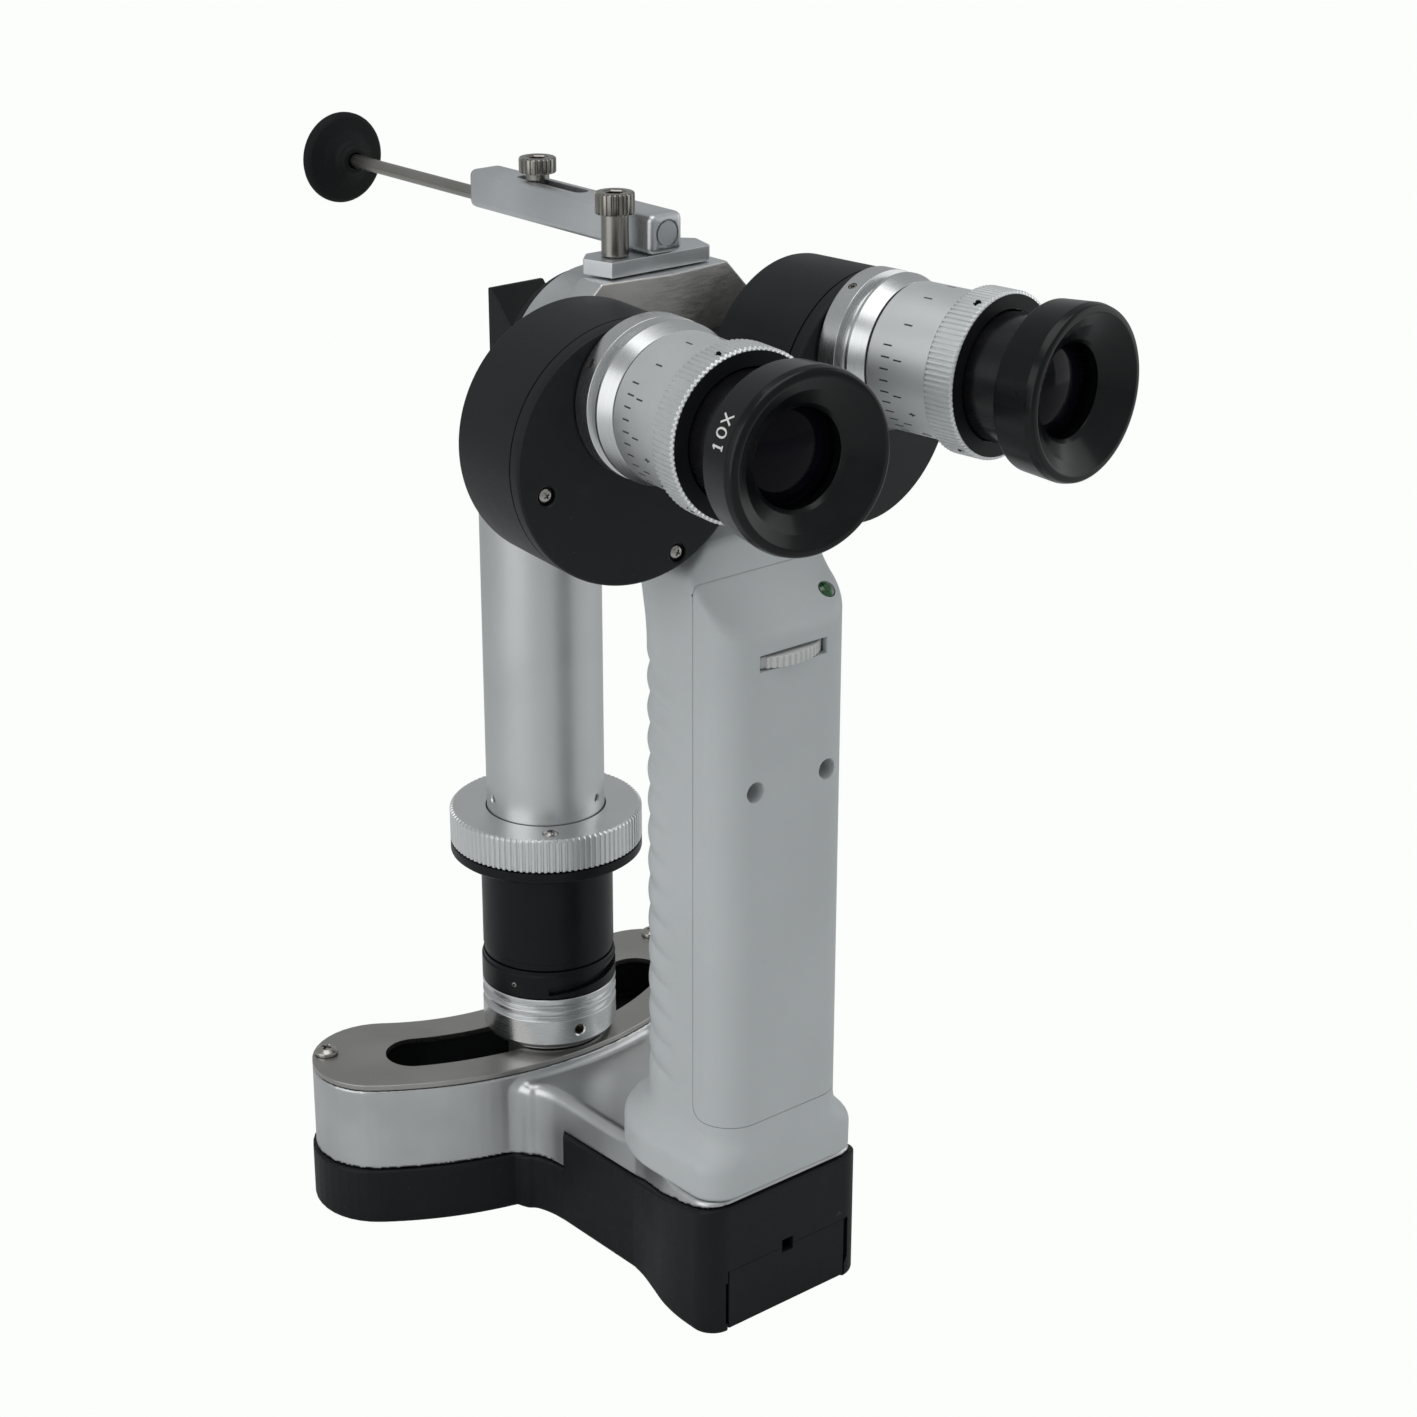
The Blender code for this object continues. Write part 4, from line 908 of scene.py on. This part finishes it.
def build_lamp():
    """The slider in the track, the silver base ring, the filter ring, the black sleeve and its flange."""
    over, under = TRACK_TOP + GAP, TRACK_UNDER - GAP
    slider = lathe("slider", [
        (0.0, TRACK_TOP + 0.9), (13.5, TRACK_TOP + 0.9), (13.5, over), (6.3, over, 0.0), (6.3, under, 0.0),
        (10.0, under), (10.0, 27.0), (0.0, 27.0)], ease=0.15)
    dress(slider, TUBE, "swing_slider")

    r, foot, crown = ring_size("lamp_base_ring")
    grooves = []
    for middle in (47.8, 45.2):
        grooves += [(r, middle + 0.95, 0.22), (r - 0.95, middle + 0.1, 0.15), (r - 0.95, middle - 0.25, 0.1),
                    (r, middle - 0.85, 0.22)]
    side = [(r, crown, 0.35)] + grooves + [(r, foot + 1.3, 0.3), (r - 1.1, foot, 0.2)]
    ring = lathe("base_ring", [(12.2, crown)] + side + [(12.2, foot)], steps=144, ease=0.1)
    carve(ring, hole(1.6, 1.2, 20.0, r + 0.05, 8.0, radial(41.4, -100.6), 32), finish=RING)
    dress(ring, RING, "lamp_base_ring", 28.0)

    r, foot, crown = ring_size("filter_ring")
    ring = lathe("filter_ring_skin", [
        (10.5, crown), (r - 0.35, crown, 0.1), (r - 0.35, crown - 0.9, 0.1), (r, crown - 1.2, 0.2),
        (r, foot, 0.25), (10.5, foot)], steps=144, ease=0.15)
    helix = []
    for share in np.linspace(0.0, 1.0, 22):
        frame_here = radial(foot + 2.0 + 2.6 * share, -125.0 + 95.0 * share) @ turn(90.0, "Z")
        helix.append(block("helix", (-0.72, -1.05, r - 1.1), (0.72, 1.05, r + 2.0), frame_here))
    carve(ring, *helix)
    dress(ring, SLEEVE, "filter_ring", 35.0)
    out = radial(foot + 3.0, -158.0)
    stop = lathe("stop", [(0.0, r + 0.25), (0.62, r + 0.2), (0.62, r - 1.5), (0.0, r - 1.5)], out, 24, 0.12)
    carve(stop, block("hex", (-0.3, -0.3, r - 0.4), (0.3, 0.3, r + 1.0), out))
    dress(stop, KNOB, "filter_ring", slot="screw_steel")

    r, foot, crown = ring_size("lamp_sleeve")
    sleeve = lathe("sleeve", [
        (13.2, crown), (r, crown, 0.1), (r, foot + 1.7, 0.1), (r - 0.25, foot + 1.55, 0.1),
        (r - 0.25, foot, 0.1), (13.2, foot)], steps=144, ease=0.1)
    dress(sleeve, SLEEVE, "lamp_sleeve", 28.0)
    r, foot, crown = ring_size("column_flange")
    step = 84.2
    flange = lathe("flange", [
        (13.9, crown), (r, crown, 0.15), (r, foot + 0.5, 0.4), (r - 0.6, foot, 0.3),
        (11.0, foot), (11.0, step), (13.9, step)], steps=160, ease=0.1)
    dress(flange, SLEEVE, "column_flange", 28.0)


def build_column():
    """The slit ring, the tall tube and the mirror's mount on top of it."""
    r, foot, crown = ring_size("slit_ring")
    teeth = 100
    side = [(13.9, crown), (r - 0.45, crown, 0.15), (r, crown - 0.5, 0.2), (r, foot, 0.2), (13.9, foot)]
    ring = lathe("slit_ring_skin", side, None, teeth * 10, 0.1, (teeth, 0.42, 0.0, 200.0, r - 0.6), 2)
    place = turn(SLIT_SCREW_AT[1], "Z") @ at(SLIT_SCREW_AT[0], 0.0, crown)
    sink = [(0.0, 2.0), (2.2, 2.0), (1.85, 0.05), (1.75, -1.0), (0.0, -1.0)]
    carve(ring, lathe("sink", sink, place, 48, 0.0))
    dress(ring, KNURL, "slit_ring", 38.0)
    seat = place @ at(0.0, 0.0, -0.5) @ turn(20.0, "Z")
    screw("slit_ring_screw", seat, 1.7, 1.15, "slit_ring", slot="screw_steel")

    r, foot, crown = ring_size("column_tube")
    side = [(11.8, crown), (r, crown, 0.25), (r, foot, 0.1), (11.8, foot)]
    tube = lathe("tube", side, steps=160, ease=0.1)
    tappings = [hole(1.2, 0.85, 20.0, r + 0.03, r - 1.5, radial(97.1, degrees), 32, 0.38, 0.4)
                for degrees in (170.7, -67.1)]
    carve(tube, *tappings, finish=TUBE)
    dress(tube, TUBE, "column_tube", 28.0)

    r, foot, crown = ring_size("mirror_head")
    side = [(0.0, foot + 2.4), (13.4, foot + 2.4, 0.3), (13.4, foot, 0.2), (0.0, foot)]
    head = lathe("mirror_mount", side, ease=0.1)
    side = [(-9.5, foot + 0.5), (7.6, foot + 0.5), (7.6, crown), (6.6, crown), (-9.5, 198.3)]
    carve(head, prism("wedge", side, -7.25, 7.25, SIDE_VIEW, bevel=0.35, segments=2), mode="UNION")
    opening = [(-8.0, 193.6), (12.0, 193.6), (12.0, 211.0), (5.5, 211.0), (-8.0, 197.5)]
    window = prism("window", opening, -5.9, 5.9, SIDE_VIEW)
    carve(head, window, rod("beam", 5.0, 180.0, 195.0, None, 32))
    dress(head, ANODISED, "mirror_head", 30.0)
    sheet = [(-7.3, 197.78), (-6.45, 196.93), (5.22, 208.6), (4.37, 209.45)]
    mirror = prism("mirror_plate", sheet, -5.5, 5.5, SIDE_VIEW, bevel=0.1, segments=2)
    dress(mirror, MIRROR, "mirror")


# ------------------------------------------------------------ microscope
HEAD_LOW, HEAD_HIGH = span("head_body")
OPTIC_Z = JOINTS["pupil_distance_right"]["pos_m"][2] / MM
DOME_Z = 201.3
SCALE_R = 15.2
CUP_R = 17.98
# How much the eyecup's side widens towards its rim, per millimetre.
CUP_FLARE = 0.08
# Directions of the set screws in the collars and of the holes in the diopter rings.
SET_SCREWS = {"left": (148.0, 28.0), "right": (120.0, 0.0)}
GRUB_HOLES = {"left": (108.0, -12.0, 228.0), "right": (113.0, -7.0, 233.0)}


def pivot_frame(side):
    """Origin where the tube axes meet; +Z runs out along one tube, X is level and Y is up."""
    along = PIVOT_AXIS.copy()
    if along.y > 0.0:
        along.negate()
    start = Vector(JOINTS["pupil_distance_right"]["pos_m"])
    start -= along * (start.x / along.x)
    along.x = side * abs(along.x)
    up = Vector((0.0, 0.0, 1.0))
    made = Matrix((up.cross(along), up, along)).transposed().to_4x4()
    made.translation = start
    return made


def domed(radius, top, sag, back, count):
    """The profile of a lens with one domed face."""
    curve = [(radius * t, top - sag * t * t) for t in np.linspace(0.0, 1.0, count)]
    return curve + [(radius, back), (0.0, back)]


def build_head():
    outline = [(-16.5, HEAD_HIGH[2]), (-26.0, 216.5), (-26.0, 188.0), (-15.0, 177.0), (-11.0, HEAD_LOW[2])]
    outline += [(-x, z) for x, z in reversed(outline)]
    head = prism("head", outline, 37.0, 52.0, FRONT_VIEW)
    head.data.materials.append(HEAD)
    wide, ridge = 35.0, HEAD_LOW[1]
    edge = ridge + wide * math.tan(TILT)
    wedge = [(-wide, -70.0), (wide, -70.0), (wide, edge), (0.0, ridge), (-wide, edge)]
    carve(head, prism("facets", wedge, 150.0, 250.0), finish=FACET)
    add_bevel(head, 0.5, 3, 25.0)
    dome = lathe("dome", [(0.0, 38.0), (22.0, 38.0), (22.0, 18.9, 0.0), (21.1, 18.0, 0.5), (0.0, 18.0)],
                 at(0.0, 0.0, DOME_Z) @ REARWARD, 160, 0.0)
    dome.data.materials.append(HEAD)
    carve(head, dome, mode="UNION")
    knob = middle_of("mount_knob")
    bores = [rod("head_bore", 7.2, 70.0, 120.0, pivot_frame(side)) for side in (-1, 1)]
    carve(head, *bores, rod("thread", 1.7, 218.0, 240.0, at(knob[0], knob[1]), 24))
    dress(head, HEAD, "head_body", 24.0)

    cell = lathe("cell", [(0.0, -14.6), (19.6, -14.6, 0.3), (20.5, -15.4, 0.3), (20.5, -17.7), (0.0, -17.7)],
                 at(0.0, 0.0, DOME_Z) @ FORWARD, 144, 0.1)
    for label in ("left", "right"):
        node = f"objective_lens_{label}"
        axis = at(middle_of(node)[0], 0.0, OPTIC_Z) @ FORWARD
        carve(cell, hole(7.5, 6.9, 0.0, -14.5, -30.0, axis, 64, 0.7))
        dress(lathe(f"objective_{label}", domed(6.6, -15.0, 0.8, -17.4, 9), axis, 64, 0.0), LENS, node)
    dress(cell, ANODISED, "objective_cell", 28.0)


def build_tube(side, label):
    """One prism drum with its lid and screws, and the eyepiece that stands on it."""
    pivot = pivot_frame(side)
    low, high = span(f"drum_cover_{label}", pivot)
    drum_frame = pivot @ at(*((low + high) / 2)[:2])
    drum_r, lid_low, lid_high = (high[0] - low[0]) / 2, low[2], high[2]
    low, high = span(f"drum_{label}", pivot)
    front = low[2] + 6.9
    side_line = [(0.0, high[2]), (drum_r, high[2], 0.15), (drum_r, front, 0.9), (0.0, front)]
    body = lathe(f"drum_shell_{label}", side_line, drum_frame, 192, 0.1)
    carve(body, rod("hub", 12.5, low[2], front + 1.5, pivot, 96), mode="UNION")
    hollow = rod("hollow", drum_r - 2.2, front + 2.4, 160.0, drum_frame, 96)
    posts, bores, sinks = [], [], []
    for index in (0, 1):
        node = f"drum_screw_{label}_{index}"
        here = pivot @ at(*middle_of(node, pivot)[:2])
        posts.append(rod("post", 3.0, front, 165.0, here, 32))
        bores.append(rod("bore", 1.2, lid_high - 12.0, 160.0, here, 24))
        sinks.append(hole(2.4, 1.95, 160.0, lid_high + 0.1, lid_high - 1.3, here))
        seat = here @ at(0.0, 0.0, lid_high - 1.2) @ turn(30.0 + 35.0 * index, "Z")
        screw(f"drum_pan_screw_{label}_{index}", seat, 1.55, 0.95, node, 7.5)
    carve(hollow, *posts)
    light = rod("light", 7.9, 100.0, front + 5.0, pivot)
    carve(body, hollow, light, *[link("bore", bore.data.copy(), bore.matrix_world) for bore in bores])
    dress(body, DRUM, f"drum_{label}", 30.0)

    eye = pivot @ at(*middle_of(f"eyecup_{label}", pivot)[:2])
    side_line = [(0.0, lid_high), (drum_r, lid_high, 1.0), (drum_r, lid_low, 0.2), (0.0, lid_low)]
    lid = lathe(f"drum_lid_{label}", side_line, drum_frame, 192, 0.1)
    carve(lid, rod("seat", 12.8, 130.0, 150.0, eye, 64), *bores, *sinks)
    dress(lid, DRUM, f"drum_cover_{label}", 30.0)
    rim = eye @ at(0.0, 0.0, span(f"eyecup_{label}", pivot)[1][2])
    build_eyepiece(label, rim)
    build_marks(side, label, rim)


def build_eyepiece(label, rim):
    """The collar, diopter ring, barrel, eyecup and lens. Heights run down from the eyecup's rim."""
    node = f"eyepiece_collar_{label}"
    collar = lathe(f"collar_{label}", [
        (13.3, -43.9), (14.9, -43.9, 0.15), (16.2, -47.3, 0.2), (16.2, -48.0, 0.2), (14.4, -48.8, 0.2),
        (14.4, -50.0, 0.2), (16.3, -50.7, 0.2), (16.3, -55.1, 0.25), (12.5, -55.1), (12.5, -58.2),
        (11.2, -58.2), (11.2, -54.0), (13.3, -54.0)], rim, 144, 0.1)
    for degrees in SET_SCREWS[label]:
        out = radial(-53.0, degrees, rim)
        carve(collar, rod("set_hole", 0.95, 14.5, 18.0, out, 24), finish=RING)
        peg = [(0.0, 16.2), (0.85, 16.2), (0.85, 14.7), (0.0, 14.7)]
        grub = lathe(f"set_screw_{label}_{int(degrees) % 360}", peg, out, 24, 0.12)
        carve(grub, block("cross_a", (-0.55, -0.13, 15.7), (0.55, 0.13, 17.0), out),
              block("cross_b", (-0.13, -0.55, 15.7), (0.13, 0.55, 17.0), out))
        dress(grub, KNOB, node, slot="screw_steel")
    dress(collar, RING, node, 24.0)

    teeth = 96
    node = f"diopter_ring_{label}"
    ring = lathe(f"diopter_{label}", [
        (13.6, -20.7, 0.0), (16.55, -20.3, 0.15), (17.0, -20.75, 0.15), (17.0, -26.9, 0.15),
        (16.2, -27.6, 0.1), (SCALE_R, -27.9, 0.1), (SCALE_R, -43.0, 0.12), (14.6, -43.6, 0.1),
        (13.3, -43.6), (13.3, -20.7, 0.0)], rim, teeth * 8, 0.1, (teeth, 0.38, -27.5, -20.3, 16.3), 2)
    holes = [rod("grub", 0.8, 15.4, 18.0, radial(-22.6, degrees, rim), 24) for degrees in GRUB_HOLES[label]]
    # The open holes' walls take the near-black finish as painted shade inside them.
    carve(ring, *holes, finish=SHADE_AND_MARK_BLACK)
    dress(ring, SATIN, node, 36.0)
    disc = [(13.35, -20.9), (13.35, -20.32), (16.3, -20.28), (16.3, -20.6, 0.0)]
    dress(lathe(f"ring_face_{label}", disc, rim, 144, 0.05), DRUM, node, slot="drum_black")

    sleeve = [(11.2, -6.7), (13.0, -6.7), (13.0, -50.5), (11.2, -50.5)]
    dress(lathe(f"barrel_{label}", sleeve, rim, 144, 0.15), BARREL, f"eyepiece_barrel_{label}")
    cup = lathe(f"cup_{label}", [
        (16.0, 0.0, 0.9), (17.4, -0.15, 1.2), (CUP_R - 1.9 * CUP_FLARE, -1.9, 1.2),
        (CUP_R - 9.6 * CUP_FLARE, -9.6, 0.5), (16.4, -10.3, 0.4), (13.3, -10.3, 0.2), (13.3, -6.4, 0.1),
        (9.5, -6.4, 0.1), (9.5, -4.6, 0.35), (10.3, -3.8, 0.6), (13.4, -1.5, 1.5)],
        rim, 192, 0.2, corner_steps=5)
    dress(cup, GLOSS, f"eyecup_{label}", 40.0)
    dress(lathe(f"lens_{label}", domed(10.9, -6.2, 2.4, -11.0, 12), rim, 96, 0.0), LENS, f"eye_lens_{label}")


def inscribe(name, frame_here, radius, strokes, width, finish, node, flare=0.0):
    """Ink strokes round a side, each between two points in degrees and height. flare: radius per height."""
    points, faces = [], []
    for (angle_a, high_a), (angle_b, high_b) in strokes:
        along = np.array([math.radians(angle_b - angle_a) * radius, high_b - high_a])
        length = np.linalg.norm(along)
        across = np.array([-along[1], along[0]]) / length * width / 2.0
        pieces = max(1, int(length / 0.6))
        first = len(points)
        for index in range(pieces + 1):
            middle = np.array([math.radians(angle_a) * radius, high_a]) + along * index / pieces
            for out, sign in ((-0.1, -1), (0.04, -1), (0.04, 1), (-0.1, 1)):
                arc_length, height = middle + across * sign
                angle, reach = arc_length / radius, radius + out + flare * height
                points.append((reach * math.cos(angle), reach * math.sin(angle), height))
        last = first + 4 * pieces
        for start in range(first, last, 4):
            for one, two in ((0, 1), (1, 2), (2, 3), (3, 0)):
                faces.append((start + one, start + two, start + 4 + two, start + 4 + one))
        faces += [tuple(range(first, first + 4)), tuple(range(last, last + 4))]
    dress(from_faces(name, points, faces, frame_here), finish, node, slot=SLOT_OF[node])


def spelled(text, middle, height, size, radius):
    """Strokes of a short mark that reads towards smaller angles, its top towards the drum."""
    ring = [(0.5 + 0.42 * math.cos(a), 0.5 + 0.5 * math.sin(a)) for a in np.linspace(0.0, TAU, 13)]
    glyphs = {
        "1": [((0.5, 0.0), (0.5, 1.0)), ((0.22, 0.78), (0.5, 1.0)), ((0.25, 0.0), (0.75, 0.0))],
        "0": list(zip(ring, ring[1:])),
        "X": [((0.05, 0.0), (0.95, 1.0)), ((0.05, 1.0), (0.95, 0.0))],
        "+": [((0.1, 0.5), (0.9, 0.5)), ((0.5, 0.1), (0.5, 0.9))],
        "-": [((0.15, 0.5), (0.85, 0.5))],
    }
    wide = math.degrees(0.62 * size / radius)
    strokes = []
    for index, letter in enumerate(text):
        centre = middle + 1.3 * wide * ((len(text) - 1) / 2.0 - index)
        for ends in glyphs[letter]:
            strokes.append([(centre - (x - 0.5) * wide, height - (y - 0.5) * size) for x, y in ends])
    return strokes


def build_marks(side, label, rim):
    """The diopter scale on the ring's sleeve and the power mark on the eyecup."""
    zero = 130.0 if side < 0 else 140.0
    strokes = [((zero + 9.0 * i, -39.7), (zero + 9.0 * i, -37.6)) for i in range(2, 13)]
    strokes += [((zero + 28.0 * i, -36.5), (zero + 28.0 * i, -34.5)) for i in range(-4, 5)]
    for sign, ahead in (("+", 70.0), ("0", 97.0), ("-", 124.0)):
        strokes += spelled(sign, zero + ahead, -32.7, 2.0, SCALE_R)
    inscribe(f"diopter_scale_{label}", rim, SCALE_R, strokes, 0.32, BLACK_INK, f"diopter_ring_{label}")
    power = spelled("10X", 156.0 if side < 0 else 40.0, -5.3, 3.2, 17.5)
    inscribe(f"power_mark_{label}", rim, CUP_R, power, 0.42, WHITE_INK, f"eyecup_{label}", CUP_FLARE)


# ------------------------------------------------------------ forehead rest
def build_rest():
    low, high = span("rest_plate")
    half, rear, front = high[0], low[1], high[1]
    near, far, side = half - 2.0, half - 3.2, front - 3.2
    outline = [(-near, rear), (near, rear), (half, side), (far, front), (-far, front), (-half, side)]
    plate = prism("top_plate", eased(outline, 0.7, 2), low[2], high[2], bevel=0.25, segments=2)
    knob = middle_of("mount_knob")
    carve(plate, rod("plate_thread", 1.8, 220.0, 240.0, at(knob[0], knob[1]), 32))
    dress(plate, ARM, "rest_plate", 30.0)

    rod_low, rod_high = span("rest_rod")
    rod_z = middle_of("rest_rod")[2]
    level = at(0.0, 0.0, rod_z) @ FORWARD
    arm = block("arm", *span("rest_arm"), bevel=1.5, segments=4)
    ends = arc((0.0, 2.8), 1.7, 0.0, 180.0, 12) + arc((0.0, -16.3), 1.7, 180.0, 360.0, 12)
    groove = [(2.5, 50.0), (2.95, 50.0), (2.95, 44.2), (2.5, 44.2)]
    plug = lathe("plug_groove", groove, at(0.0, 0.0, 234.1) @ REARWARD, 64, 0.0)
    carve(arm, rod("arm_bore", 1.8, -20.0, 30.0, level), prism("arm_slot", ends, rod_z, 245.0), plug)
    dress(arm, ARM, "rest_arm", 30.0)

    steel = [(0.0, rod_high[1]), (1.5, rod_high[1]), (1.5, rod_low[1]), (0.0, rod_low[1])]
    dress(lathe("rod", steel, level, 48, 0.25), ROD, "rest_rod")
    low, high = span("rest_pad")
    out, back, deep = high[0], low[1], high[1]
    pad = lathe("pad", [
        (0.0, deep), (out - 0.9, deep, 0.9), (out, deep - 1.2, 1.0), (out, deep - 2.4, 1.0),
        (out - 0.9, deep - 3.3, 0.9), (6.5, deep - 3.7, 2.0), (3.6, deep - 5.0, 1.6), (3.2, back, 0.7),
        (1.8, back), (1.8, deep - 4.0), (0.0, deep - 4.0)], level, 96, 0.3)
    dress(pad, RUBBER, "rest_pad", 40.0)
    thumbscrew("clamp_screw", "rod_clamp_knob", 22, 2.5, 4.0, 239.9, 238.5, 1.3)
    thumbscrew("mount_thumbscrew", "mount_knob", 24, 2.8, 4.1, 238.4, 229.9, 1.5)


def thumbscrew(name, node, teeth, shaft, head_r, head_foot, shoulder, thread):
    """A knurled stainless thumbscrew with a hexagon socket and a shouldered shaft."""
    low, high = span(node)
    top, end = high[2], low[2]
    here = at(*middle_of(node)[:2])
    profile = [(0.0, top), (head_r, top, 0.45), (head_r, head_foot, 0.4), (shaft, head_foot, 0.15),
               (shaft, shoulder, 0.1), (thread, shoulder, 0.05), (thread, end), (0.0, end)]
    made = lathe(name, profile, here, teeth * 10, 0.15, (teeth, 0.42, head_foot, top - 0.05, head_r - 0.4))
    carve(made, hole(2.45, 2.1, top + 3.0, top - 0.1, top - 2.3, here @ turn(12.0, "Z"), 6, 0.25))
    dress(made, KNOB, node, 34.0)


# ------------------------------------------------------------ what stays from the CAD
KEPT = {
    "battery_pack": BATTERY, "battery_contacts": COPPER, "potentiometer": CASE, "control_board": BOARD,
    "head_bracket": BRACKET, "lamp_led": LAMP_BOARD, "condenser_lens": CRYSTAL, "slit_plate": BRACKET,
    "prism_left": CRYSTAL, "prism_right": CRYSTAL,
}


def finish_kept():
    for node, finish in KEPT.items():
        mesh = NODES[node]
        for slot in mesh.material_slots:
            slot.material = finish
        if not mesh.material_slots:
            mesh.data.materials.append(finish)


build_foot()
build_tray()
build_grip()
build_lamp()
build_column()
build_head()
for tube_side, tube_label in ((-1, "left"), (1, "right")):
    build_tube(tube_side, tube_label)
build_rest()
finish_kept()


# ------------------------------------------------------------ room, lights and camera
BACKDROP = (0.972, 0.990, 0.974, 1.0)


def build_room():
    """A pale floor and surround: even and bright where the camera sees them, dimmer in what they light."""
    floor = block("floor", (-4000.0, -4000.0, -6.0), (4000.0, 4000.0, -0.4))
    shader = Shader("floor_paper")
    grain = shader.noise(35.0, 4.0)
    paper = shader.mix(shader.remap(grain, 0.3, 0.7), (0.72, 0.73, 0.73), (0.76, 0.77, 0.77))
    shader.finish(Base_Color=paper, Roughness=0.9)
    glow = shader.add("ShaderNodeEmission", {"Color": BACKDROP})
    seen = shader.add("ShaderNodeLightPath").outputs["Is Camera Ray"]
    mixed = shader.add("ShaderNodeMixShader", {0: seen, 1: shader.main.outputs[0], 2: glow.outputs[0]})
    shader.tree.links.new(mixed.outputs[0], shader.tree.nodes["Material Output"].inputs["Surface"])
    floor.data.materials.append(shader.material)

    world = bpy.data.worlds.new("studio")
    bpy.context.scene.world = world
    world.use_nodes = True
    tree = world.node_tree
    background = tree.nodes["Background"]
    seen = tree.nodes.new("ShaderNodeLightPath").outputs["Is Camera Ray"]
    mixed = tree.nodes.new("ShaderNodeMix")
    mixed.data_type = "RGBA"
    tree.links.new(seen, mixed.inputs[0])
    mixed.inputs[6].default_value = (0.36, 0.37, 0.375, 1.0)
    mixed.inputs[7].default_value = BACKDROP
    tree.links.new(mixed.outputs[2], background.inputs["Color"])


def build_light(name, place, size, power):
    """A rectangular softbox that points at the middle of the object."""
    lamp = bpy.data.lights.new(name, "AREA")
    lamp.shape = "RECTANGLE"
    lamp.size, lamp.size_y = size[0] * MM, size[1] * MM
    lamp.energy = power
    made = bpy.data.objects.new(name, lamp)
    bpy.context.scene.collection.objects.link(made)
    aim = (Vector((0.0, -30.0, 120.0)) - Vector(place)).to_track_quat("-Z", "Y")
    made.matrix_world = at(*place) @ aim.to_matrix().to_4x4()


def build_camera(azimuth, elevation, roll, distance, aim):
    """A long lens that looks at aim, from a direction given in degrees."""
    lens = bpy.data.cameras.new("camera")
    lens.sensor_width = 36.0
    lens.lens = 74.89626
    lens.clip_start = 0.01
    lens.clip_end = 50.0
    made = bpy.data.objects.new("camera", lens)
    across, up = math.radians(azimuth), math.radians(elevation)
    back = Vector((math.sin(across) * math.cos(up), -math.cos(across) * math.cos(up), math.sin(up)))
    look = (-back).to_track_quat("-Z", "Y").to_matrix().to_4x4()
    made.matrix_world = Matrix.Translation((Vector(aim) + back * distance) * MM) @ look @ turn(roll, "Z")
    bpy.context.scene.collection.objects.link(made)
    bpy.context.scene.camera = made


build_room()
build_light("left_softbox", (-950.0, -50.0, 420.0), (900.0, 900.0), 2.7)
build_light("top_softbox", (-100.0, -180.0, 1150.0), (900.0, 900.0), 3.5)
build_light("right_softbox", (900.0, -450.0, 380.0), (700.0, 900.0), 1.5)
build_camera(-40.27, 21.635, 0.111, 625.64, (0.0, -58.17, 134.39))
bpy.context.scene.view_settings.view_transform = "Standard"
